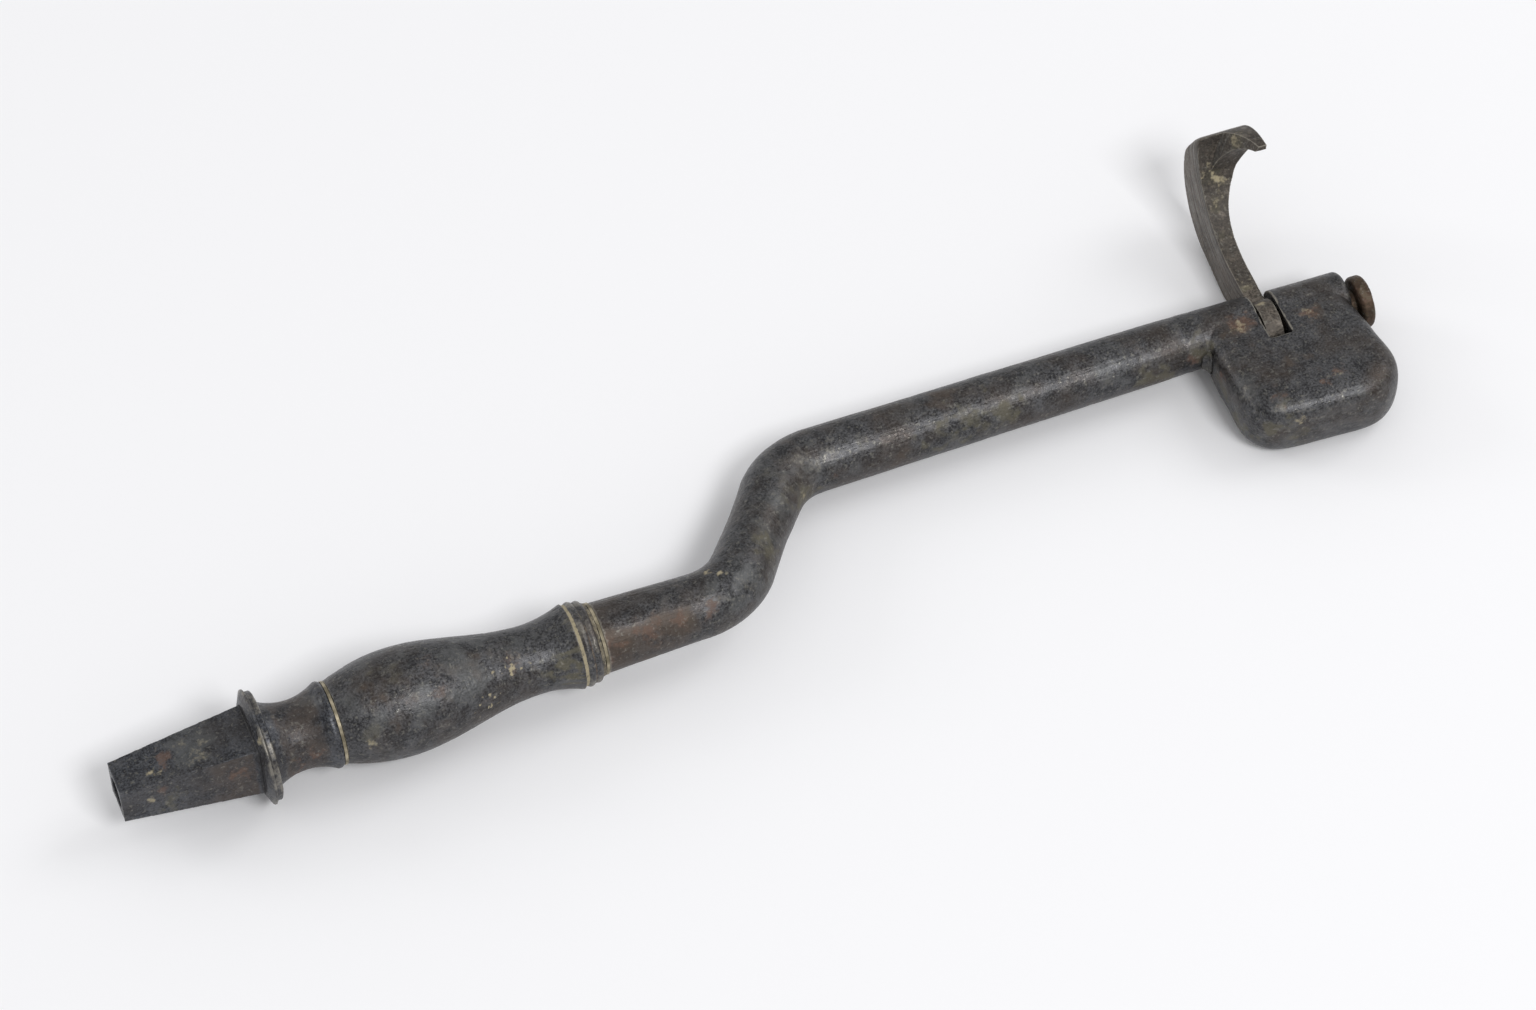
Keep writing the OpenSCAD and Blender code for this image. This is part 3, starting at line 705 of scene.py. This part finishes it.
# %% Grip finish
NEAR_SIDE_MM = (-2.0, 1.0)
GRIP_SPOTS = {
    # ragged edge in mm, seed, and balls as x, y, z and radius in mm
    "bloom_and_sheen": (1.4, 7, [
        (27.7, -1.6, 5.2, 1.6), (35.9, -5.4, 3.3, 2.0), (41.3, -3.3, 4.4, 2.6), (30.5, -4.8, 3.9, 1.6)]),
    "brown": (1.5, 8, [(33.1, -2.3, 6.0, 3.0), (47.0, -1.9, 4.0, 2.5)]),
    "rust": (0.9, 9, [
        (37.6, -0.3, 6.2, 1.2), (38.1, -3.3, 5.1, 1.2), (47.0, -1.9, 4.0, 1.5), (43.6, -4.8, 1.5, 1.0)]),
    "olive_belly": (1.2, 10, [(29.5, -5.0, 2.8, 1.6), (33.5, 0.0, 6.3, 2.2)]),
    "olive_waist": (1.0, 66, [(53.0, -4.0, 2.1, 1.7), (51.2, -4.2, 1.5, 1.5)]),
    "speckled": (1.0, 64, [(46.4, -2.7, 3.6, 1.5), (43.4, -4.9, 1.3, 1.3)]),
    "pale_crumb": (0.4, 11, [(28.9, -5.5, 1.8, 0.5)]),
    "pale_waist": (0.6, 67, [(52.8, -4.1, 1.9, 1.5)]),
}
spots = all_patches(points, GRIP_SPOTS)
near_side = fade(points[:, 1], *NEAR_SIDE_MM)
speckle = strewn(points, width=0.45, seed=65, above=0.1) * ramp(spots["speckled"], low=0.1, high=0.5)
# The second and last grooves are darkened.
dark_grooves = np.maximum(second_groove, last_groove)
residue = 0.95 * first_groove + 0.6 * last_groove + 0.5 * second_groove
lay(grip, {
    "rubbed_and_sheen": np.where(beads > 0, bead_polish, read_layer(grip.data, "rubbed_and_sheen")),
    "hollow": np.maximum(read_layer(grip.data, "hollow"), dark_grooves),
    "bloom_and_sheen": strewn(points, width=2.8, seed=26, above=0.05) + spots["bloom_and_sheen"],
    "brown": 0.5 * strewn(points, width=4.0, seed=27, above=0.05) + 0.6 * spots["brown"],
    "rust": 0.55 * spots["rust"] + second_groove * near_side + 0.5 * last_groove,
    "olive": 0.9 * streaks + 0.6 * spots["olive_belly"] + spots["olive_waist"],
    "chalk": residue + 0.8 * spots["pale_crumb"] + speckle + 0.3 * spots["pale_waist"],
})
grip.data.materials.append(iron)
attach(grip, "stem")
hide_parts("grip")

# %% [markdown]
# ## The shank
# The round bar was bent twice while hot. A curve with a round section could draw it, but the packed
# solid has the true taper and bends, so it is worn like the rest. Its end is drawn in a hair and
# tucked into the bolster, so that no step shows there. Brown rust covers the front side of the first
# run, pale specks sit in the first bend, and an olive film lies in the second and near the bolster.
# Pale patches on the bends are painted highlights.

# %% Shank shape
SHANK_END_AXIS_MM, TENON_CLEAR_MM = (16.08, -1.97), 3.0
STEP_MM, TUCK_MM, LAST_STEP = 0.12, 0.7, 0.7
DRAWN_IN_MM, TUCKED_MM = (136.0, 141.0), (140.6, 141.3)
shank = even_skin("shank", square_mm=0.185)
points = wear(shank, dent_mm=0.09, dent_width=6.0, pit_mm=0.025, pit_width=1.1, seed=31)[0]
x, y = points[:, 0], points[:, 1]
blended = read_points(shank.data)
from_axis = blended[:, 1:] - SHANK_END_AXIS_MM
radius = np.hypot(from_axis[:, 0], from_axis[:, 1])
skin_only = radius > TENON_CLEAR_MM
narrowing = STEP_MM * skin_only * (ramp(x, *DRAWN_IN_MM) + LAST_STEP * ramp(x, *TUCKED_MM))
blended[:, 1:] -= from_axis * (narrowing / np.maximum(radius, 1))[:, None]
blended[:, 0] += TUCK_MM * skin_only * ramp(x, *TUCKED_MM)
write_points(shank.data, blended)
print("shank drawn in by up to", round(float(narrowing.max()), 3), "mm")

# %% Shank finish
FIRST_RUN_MM, BESIDE_BEADS_MM = (57.8, 59.0, 66.0, 74.0), (58.3, 59.0)
FRONT_SIDE_MM, FRONT_HALF_MM = (-3.0, -0.8), (-3.0, 0.0)
BEFORE_BOLSTER_MM = (139.6, 140.6)
SHANK_SPOTS = {
    # ragged edge in mm, seed, and balls as x, y, z and radius in mm
    # These three balls paint highlights on the two bends; so do the bloom balls at 78.1 and 75.0 mm.
    "painted_highlight": (1.2, 68, [(76.0, -1.2, 3.1, 1.9), (89.6, 13.8, 1.9, 2.2), (92.5, 14.6, 1.7, 1.6)]),
    "bloom_and_sheen": (1.4, 12, [
        (78.1, -0.2, 2.6, 3.2), (71.9, -0.8, 3.9, 1.4), (128.0, 13.6, 0.8, 1.6), (75.0, -2.6, 2.4, 2.2),
        (82.4, 4.6, 2.6, 2.8), (86.4, 9.0, 1.6, 3.0), (90.5, 12.0, 1.4, 2.6)]),
    "brown": (1.8, 13, [(82.0, 6.0, 2.5, 3.0), (109.1, 15.8, 1.8, 3.5), (100.0, 14.0, 1.0, 3.0)]),
    "rust": (1.2, 14, [
        (63.4, -3.1, 2.7, 1.7), (59.9, -3.5, 2.4, 1.4), (67.4, -3.1, 2.6, 1.3), (71.1, -2.7, 2.9, 1.2),
        (93.1, 12.3, -0.9, 0.7), (139.7, 12.5, -1.0, 0.8)]),
    "olive": (1.3, 15, [
        (80.5, 3.4, 2.4, 2.0), (88.2, 10.7, -0.5, 2.8), (106.5, 12.8, -0.4, 2.2), (110.8, 12.9, 0.1, 2.8),
        (115.0, 12.8, 0.2, 2.0), (133.5, 12.4, -1.2, 2.0), (136.2, 12.4, -2.0, 3.0),
        (140.4, 12.7, -0.4, 2.0)]),
    "pale_crumbs": (0.5, 16, [
        (72.4, 1.9, 3.6, 0.45), (73.0, 1.5, 3.8, 0.35), (73.9, 0.9, 3.9, 0.45), (74.7, 0.6, 3.9, 0.4),
        (88.6, 10.4, -0.8, 0.6), (88.2, 11.6, -1.0, 0.5)]),
}
spots = all_patches(points, SHANK_SPOTS)
front_run = span(x, *FIRST_RUN_MM) * fade(y, *FRONT_SIDE_MM)
beside_beads = fade(x, *BESIDE_BEADS_MM) * fade(y, *FRONT_HALF_MM)
lay(shank, {
    # Rubbed edges, faded out before the bolster, plus the painted highlights on the bends.
    "rubbed_and_sheen": read_layer(shank.data, "rubbed_and_sheen") * fade(x, *BEFORE_BOLSTER_MM) + 0.55 * spots["painted_highlight"],
    "bloom_and_sheen": 0.65 * strewn(points, width=3.2, seed=36, above=0.15) + spots["bloom_and_sheen"],
    "brown": 0.45 * strewn(points, width=5.0, seed=37, above=0.05) + 0.8 * front_run + 0.5 * spots["brown"],
    "rust": 0.9 * spots["rust"] + 0.7 * beside_beads,
    "olive": 0.4 * strewn(points, width=4.0, seed=38, above=0.25) + 0.9 * spots["olive"],
    "chalk": 0.9 * spots["pale_crumbs"],
})
shank.data.materials.append(iron)
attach(shank, "stem")
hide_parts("shank")

# %% [markdown]
# ## The bolster
# The heavy pad pressed on the gum, so every edge of it was filed round. Bevels would leave flats, so
# the pad is relaxed many times, but not near the slot, where the edges are crisp. A blow has left a
# short dark crease on its upper front corner nearest the grip, which is pressed into the skin as a
# real dent and also painted dark as shade. A pale patch on the same corner, beside the crease, is a
# painted highlight. Red speckled patches lie beside the slot, and an olive film lies behind the pad.

# %% Bolster shape
PAD_MM, PAD_ROUNDS = (6.6, 9.4), 280
CREASE_AT_MM, CREASE_RUN = np.array([142.6, 1.6, 1.1]), np.array([-0.12, -0.70, -0.70])
CREASE_LONG_MM, CREASE_WIDE_MM, CREASE_DEEP_MM = 1.2, 0.42, 0.34
bolster = even_skin("bolster", square_mm=0.15)
ends, points = edge_ends(bolster.data), read_points(bolster.data)
on_pad = fade(points[:, 1], *PAD_MM)[:, None]
points = points + on_pad * (relax(points, ends, PAD_ROUNDS, steps=IN_ONLY) - points)
write_points(bolster.data, points)
points, normals = wear(bolster, dent_mm=0.07, dent_width=4.0, pit_mm=0.03, pit_width=1.0, seed=41)
from_crease = points - points[np.argmin(np.linalg.norm(points - CREASE_AT_MM, axis=1))]
run = from_crease @ CREASE_RUN / np.linalg.norm(CREASE_RUN)
aside = np.sqrt(np.maximum((from_crease * from_crease).sum(axis=1) - run * run, 0))
crease = np.exp(-(run / CREASE_LONG_MM) ** 2 - (aside / CREASE_WIDE_MM) ** 2)
write_points(bolster.data, read_points(bolster.data) - CREASE_DEEP_MM * crease[:, None] * normals)
print("points in the crease", np.count_nonzero(crease > 0.5))

# %% Bolster finish
FACING_FRONT, ABOVE_BASE_MM = (0.45, 0.8), (-6.0, -4.5)
SCRATCH_MM = (5, 0.3, 0.3)
PAST_SHANK_MM, BARREL_MM = (142.2, 143.2), (9.5, 11.0)
BOLSTER_SPOTS = {
    # ragged edge in mm, seed, and balls as x, y, z and radius in mm
    # These balls and the bloom ball below paint a highlight on the rounded corner beside the crease.
    "painted_highlight": (0.8, 17, [(142.4, 4.6, 1.7, 0.9), (142.2, 3.2, 1.6, 0.8)]),
    "bloom_and_sheen": (1.0, 17, [(142.3, 4.4, 1.6, 1.6)]),
    "brown": (1.4, 18, [
        (146.0, 1.9, 2.3, 1.8), (146.2, 13.9, 1.6, 2.2), (154.6, 12.3, 1.5, 2.2), (150.5, 6.0, 2.3, 2.0)]),
    "rust": (0.9, 19, [
        (146.2, 13.9, 1.6, 1.5), (154.6, 12.3, 1.5, 1.4), (153.7, 2.5, 2.3, 1.0), (152.1, 1.8, 2.3, 0.9),
        (146.0, 1.7, 2.4, 1.1), (141.3, 8.2, -0.7, 0.9)]),
    "olive": (1.1, 20, [
        (141.6, 10.4, -2.3, 2.0), (142.0, 12.4, 0.5, 1.4), (141.6, 7.6, -2.4, 2.0), (142.0, 4.6, -2.8, 2.0),
        (142.8, 2.2, -2.6, 1.8), (144.0, -0.5, -0.9, 1.8), (146.2, -0.4, 1.2, 1.4),
        (147.0, -1.2, -3.0, 1.6)]),
    "pale_speckle": (0.4, 21, [
        (146.0, 13.5, 1.6, 1.0), (154.5, 12.5, 1.5, 0.9), (153.7, 2.5, 2.3, 0.6), (147.3, -1.1, 0.2, 0.8)]),
}
spots = all_patches(points, BOLSTER_SPOTS)
front_face = ramp(-normals[:, 1], *FACING_FRONT) * ramp(points[:, 2], *ABOVE_BASE_MM)
scratches = front_face * ramp(mottle(points / SCRATCH_MM, width=1.0, seed=48), low=0.3, high=0.6)
edges = read_layer(bolster.data, "rubbed_and_sheen") * ramp(points[:, 0], *PAST_SHANK_MM)
barrel_dirt = ramp(points[:, 1], *BARREL_MM) * strewn(points, width=2.0, seed=45, above=0.3)
lay(bolster, {
    # Rubbed edges and scratches, plus the painted highlight on the rounded corner.
    "rubbed_and_sheen": edges + 0.5 * scratches + 0.7 * spots["painted_highlight"],
    # The crease is painted dark as shade over its dent; the blots by the barrel are dirt.
    "hollow": 0.9 * crease + 0.7 * barrel_dirt,
    "bloom_and_sheen": 0.5 * strewn(points, width=3.0, seed=46, above=0.25) + 0.5 * front_face + 0.8 * spots["bloom_and_sheen"],
    "brown": 0.4 * strewn(points, width=4.0, seed=47, above=0.1) + 0.8 * spots["brown"],
    "rust": 0.95 * spots["rust"],
    "olive": 0.9 * spots["olive"],
    "chalk": 0.7 * spots["pale_speckle"],
})
bolster.data.materials.append(iron)
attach(bolster, "stem")
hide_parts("bolster")

# %% [markdown]
# ## The claw
# The hook was forged from steel and its flanks were drawn with a file along their length, which
# leaves faint streaks that follow the curve. A straight pattern would run across the hook, so the
# streaks are a mottle that is measured round the centre of its throat. The back of the hook is
# rubbed round. The inner face is dark and pitted, with tan residue in the middle and round the fork.
# A dark band along each flank beside the arris is painted shade.

# %% Claw shape
HOOK_AT_MM, BACK_ROUNDS = np.array([0.0, 29.0, 3.6]), 150
BACK_REACH_MM, BACK_HEIGHT_MM, BACK_SIDE_MM = (7.4, 8.8), (5.0, 8.5), (150.5, 153.5)
claw = even_skin("claw", square_mm=0.1, crisp=True)
ends, points = edge_ends(claw.data), read_points(claw.data)
from_hook = points - HOOK_AT_MM
on_back = ramp(np.hypot(from_hook[:, 1], from_hook[:, 2]), *BACK_REACH_MM)
on_back *= ramp(points[:, 2], *BACK_HEIGHT_MM) * fade(points[:, 0], *BACK_SIDE_MM)
points = points + on_back[:, None] * (relax(points, ends, BACK_ROUNDS, steps=IN_ONLY) - points)
write_points(claw.data, points)
points, normals = wear(claw, dent_mm=0.03, dent_width=2.0, pit_mm=0.03, pit_width=0.6, seed=51, soften=3)

# %% Claw faces and file streaks
THROAT_AT_MM = np.array([0.0, 23.0, 12.06])
FLANK_FACING, INNER_FACING = (0.6, 0.9), (0.45, 0.75)
INNER_REACH_MM, ARRIS_REACH_MM, EYE_MM = (12.6, 12.9), (13.1, 13.9), (16.5, 18.0)
FILE_WIDE_MM, FILE_DEEP_MM, FILE_LONG_DEG = 0.35, 2, 25
from_throat = points - THROAT_AT_MM
reach = np.hypot(from_throat[:, 1], from_throat[:, 2])
swing = np.degrees(np.arctan2(from_throat[:, 1], -from_throat[:, 2]))
sideways = np.abs(normals[:, 0])
flank = ramp(sideways, *FLANK_FACING)
inner = fade(reach, *INNER_REACH_MM) * fade(sideways, *INNER_FACING)
claw_eye = fade(points[:, 1], *EYE_MM)
# This band of each flank along the arris is darkened as painted shade.
arris_shade = flank * fade(reach, *ARRIS_REACH_MM)
file_streak = mottle(
    np.c_[reach / FILE_WIDE_MM, points[:, 0] / FILE_DEEP_MM, swing / FILE_LONG_DEG], width=1.0, seed=52)
print("share of flank", round(float(flank.mean()), 2), "and of inner face", round(float(inner.mean()), 2))

# %% Claw finish
FLANK_BY_EYE_MM = (22.0, 30.0)
FORK_LINE_MM = 0.4


def row_of_balls(start, end, count, radius):
    """Balls for a patch, in a straight row from start to end."""
    return [(x, y, z, radius) for x, y, z in np.linspace(start, end, count)]


fork_across = row_of_balls((149.9, 33.6, 5.6), (152.6, 33.1, 4.5), 7, FORK_LINE_MM)
fork_along = row_of_balls((150.7, 34.2, 6.9), (151.7, 32.1, 3.4), 9, FORK_LINE_MM)
CLAW_SPOTS = {
    # ragged edge in mm, seed, and balls as x, y, z and radius in mm
    "olive": (0.8, 22, [
        (151.2, 33.3, 5.0, 1.5), (150.9, 31.1, 2.5, 1.2), (149.8, 28.2, 0.7, 1.1), (149.7, 19.8, -0.4, 1.0),
        (153.5, 33.3, 11.3, 1.8)]),
    "fork_lines": (0.5, 57, fork_across + fork_along),
    "pale_residue": (0.6, 23, [
        (151.2, 33.3, 5.0, 1.0), (150.9, 31.1, 2.5, 0.7), (149.7, 19.8, -0.4, 0.7), (150.1, 16.1, 1.2, 0.7),
        (153.5, 33.3, 11.3, 1.0)]),
}
spots = all_patches(points, CLAW_SPOTS)
file_shine = flank * ramp(file_streak, low=0.25, high=0.6)
# Dark lines of the file streaks, and the painted shade along the arris.
file_streaks_and_arris_shade = flank * ramp(-file_streak, low=0.05, high=0.4) + 0.8 * arris_shade
# The inner face is darkened in blots.
inner_darkening = inner * ramp(mottle(points, width=0.9, seed=53), low=-1.1, high=0.0)
# The eye that sits in the slot is darkened in blots.
eye_darkening = claw_eye * ramp(mottle(points, width=1.2, seed=56), low=-0.5, high=0.2)
inner_film = inner * ramp(mottle(points, width=1.4, seed=54), low=0.0, high=0.5)
inner_specks = inner * strewn(points, width=0.45, seed=55, above=0.3)
lay(claw, {
    "bloom_and_sheen": flank * (0.45 + 1.1 * file_streak),
    "rubbed_and_sheen": np.maximum(read_layer(claw.data, "rubbed_and_sheen"), 0.5 * file_shine),
    # The inner face and the eye in the slot are darkened in blots; the band beside the arris is painted
    # shade.
    "hollow": inner_darkening + file_streaks_and_arris_shade + 0.75 * eye_darkening,
    "brown": 0.7 * flank * fade(points[:, 1], *FLANK_BY_EYE_MM) + 0.3 * inner,
    "olive": 0.2 * inner_film + 0.9 * spots["olive"],
    "chalk": 0.65 * spots["fork_lines"] + 0.5 * inner_specks + 0.7 * spots["pale_residue"],
})
# Forged and filed: lighter and warmer than the iron, with a duller sheen.
steel = old_iron(
    "filed_claw_steel", dark="#423d38", light="#7a7269", brown="#584d44",
    rough_low=0.34, rough_high=0.62)
claw.data.materials.append(steel)
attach(claw, "claw")
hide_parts("claw")

# %% [markdown]
# ## The pivot screw
# The claw swings on a screw, whose head stands off the end of the bolster and is brown with rust all
# over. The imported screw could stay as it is, but its edges would look new beside the worn pieces. It
# turns in the bolster, so a worn skin could rub there: the shaft and the underside of the head are
# eased by a few hundredths, measured from the joint's own axis.

# %% Pivot screw shape
TURNING_ROOM_MM, SHAFT_RADIUS_MM, HEAD_MIDDLE_MM = 0.06, 1.75, 0.9
SHAFT_LIMITS_MM = (1.1 * SHAFT_RADIUS_MM, 1.2 * SHAFT_RADIUS_MM)
screw = even_skin("pivot_screw", square_mm=0.09)
points = wear(screw, dent_mm=0.03, dent_width=1.5, pit_mm=0.03, pit_width=0.5, seed=61, soften=3)[0]
screw_turn = next(joint for joint in frame["joints"] if joint["name"] == "screw_turn")
axis_at, axis_run = np.array(screw_turn["pos_m"]) / MM, np.array(screw_turn["axis"])
eased = read_points(screw.data)
along = (eased - axis_at) @ axis_run
from_axis = eased - axis_at - along[:, None] * axis_run
radius = np.linalg.norm(from_axis, axis=1)
below_head = fade(along, 0.0, HEAD_MIDDLE_MM)
eased += TURNING_ROOM_MM * below_head[:, None] * axis_run
shaft = below_head * fade(radius, *SHAFT_LIMITS_MM)
eased -= from_axis * (TURNING_ROOM_MM * shaft / np.maximum(radius, TURNING_ROOM_MM))[:, None]
write_points(screw.data, eased)
print("points of the shaft eased", np.count_nonzero(shaft))

# %% Pivot screw finish
lay(screw, {
    "rust": 0.6 * strewn(points, width=1.2, seed=24, above=0.0),
    "olive": 0.8 * strewn(points, width=1.0, seed=25, above=0.0),
})
# Turned and never wiped: a dry brown skin that hardly shines.
rusted = old_iron(
    "rust_browned_screw_iron", dark="#3c3129", light="#57493b", brown="#48372c",
    rough_low=0.44, rough_high=0.70)
screw.data.materials.append(rusted)
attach(screw, "pivot_screw")
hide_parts("pivot_screw")

# %% [markdown]
# ## The brazed rings
# Two thin rings of brazing metal close the joints beside the collar and the beads. They are too
# narrow for wear to show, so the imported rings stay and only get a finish. Brass that was melted into
# a joint and left to tarnish is dull and pale yellow grey, lighter where it was rubbed, so one noise
# drives both its colour and its relief.

# %% Brazed rings
TARNISH_MM, TARNISH_DETAIL, TARNISH_LIMITS = 1.2, 4.0, (0.38, 0.66)
BRAZE_RELIEF_MM, BRAZE_RELIEF_STRENGTH = 0.05, 0.5
BRAZE_DARK, BRAZE_LIGHT, BRAZE_ROUGH, BRAZE_METAL = "#6d6552", "#aca28a", 0.5, 0.4
braze, tree = blank_material("tarnished_brass_braze")
where = add(tree, "ShaderNodeTexCoord", out="Object")
tarnish = add(tree, "ShaderNodeTexNoise", {
    "Vector": where, "Scale": 1 / (TARNISH_MM * MM), "Detail": TARNISH_DETAIL})
tone = add(tree, "ShaderNodeMapRange", {
    "Value": tarnish, "From Min": TARNISH_LIMITS[0], "From Max": TARNISH_LIMITS[1]})
colour = add(tree, "ShaderNodeMix", {
    FACTOR: tone, COLOUR_A: paint(BRAZE_DARK), COLOUR_B: paint(BRAZE_LIGHT)},
    data_type="RGBA", out=COLOUR_OUT)
bump = add(tree, "ShaderNodeBump", {
    "Height": tarnish, "Strength": BRAZE_RELIEF_STRENGTH, "Distance": BRAZE_RELIEF_MM * MM})
skin = add(tree, "ShaderNodeBsdfPrincipled", {
    "Base Color": colour, "Roughness": BRAZE_ROUGH, "Metallic": BRAZE_METAL, "Normal": bump})
add(tree, "ShaderNodeOutputMaterial", {"Surface": skin})
for node in ("collar_seam", "bead_seam"):
    ring = frame["nodes"][node]
    ring.data.materials.clear()
    ring.data.materials.append(braze)
    print(node, "finished as", braze.name)

# %% [markdown]
# ## The fillet behind the pad
# A fillet of the same brazing metal fills the corner where the shank enters the bolster. It has gone
# as dark as the iron beside it, and it runs out to nothing at both ends. The imported fillet ends
# bluntly, so a relaxed skin of it is drawn into the corner towards its ends. It gets the iron's
# finish with an olive film, because the ring's pale brass would stand out. Lying in the corner, it
# is also painted darker all over as shade.

# %% Fillet shape
FILLET_ROUNDS, FILLET_SWEEP_DEG, RUN_OUT_DEG, SINK_MM = 10, 30.0, 16.0, 0.15
fillet = even_skin("bolster_seam", square_mm=0.07)
points = relax(read_points(fillet.data), edge_ends(fillet.data), FILLET_ROUNDS, steps=IN_ONLY)
from_axis = points[:, 1:] - SHANK_END_AXIS_MM
radius = np.hypot(from_axis[:, 0], from_axis[:, 1])
from_middle = np.abs(np.degrees(np.arctan2(from_axis[:, 1], -from_axis[:, 0])))
stay = ramp(FILLET_SWEEP_DEG - from_middle, 0.0, RUN_OUT_DEG)
deep_x, deep_radius = points[:, 0].max(), radius.min() - SINK_MM
points[:, 0] = deep_x + stay * (points[:, 0] - deep_x)
new_radius = deep_radius + stay * (radius - deep_radius)
points[:, 1:] = SHANK_END_AXIS_MM + from_axis * (new_radius / radius)[:, None]
write_points(fillet.data, points)
print("fillet reaches", round(float(from_middle.max())), "degrees to each side")

# %% Fillet finish
clear_layers(fillet.data)
lay(fillet, {
    "olive": 0.5 + 0.5 * strewn(points, width=1.2, seed=71, above=0.0),
    "rust": 0.6 * strewn(points, width=0.9, seed=72, above=0.2),
    # Painted shade over the whole fillet in its corner.
    "hollow": np.full(len(points), 0.6),
})
fillet.data.materials.append(iron)
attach(fillet, "stem")
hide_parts("bolster_seam")
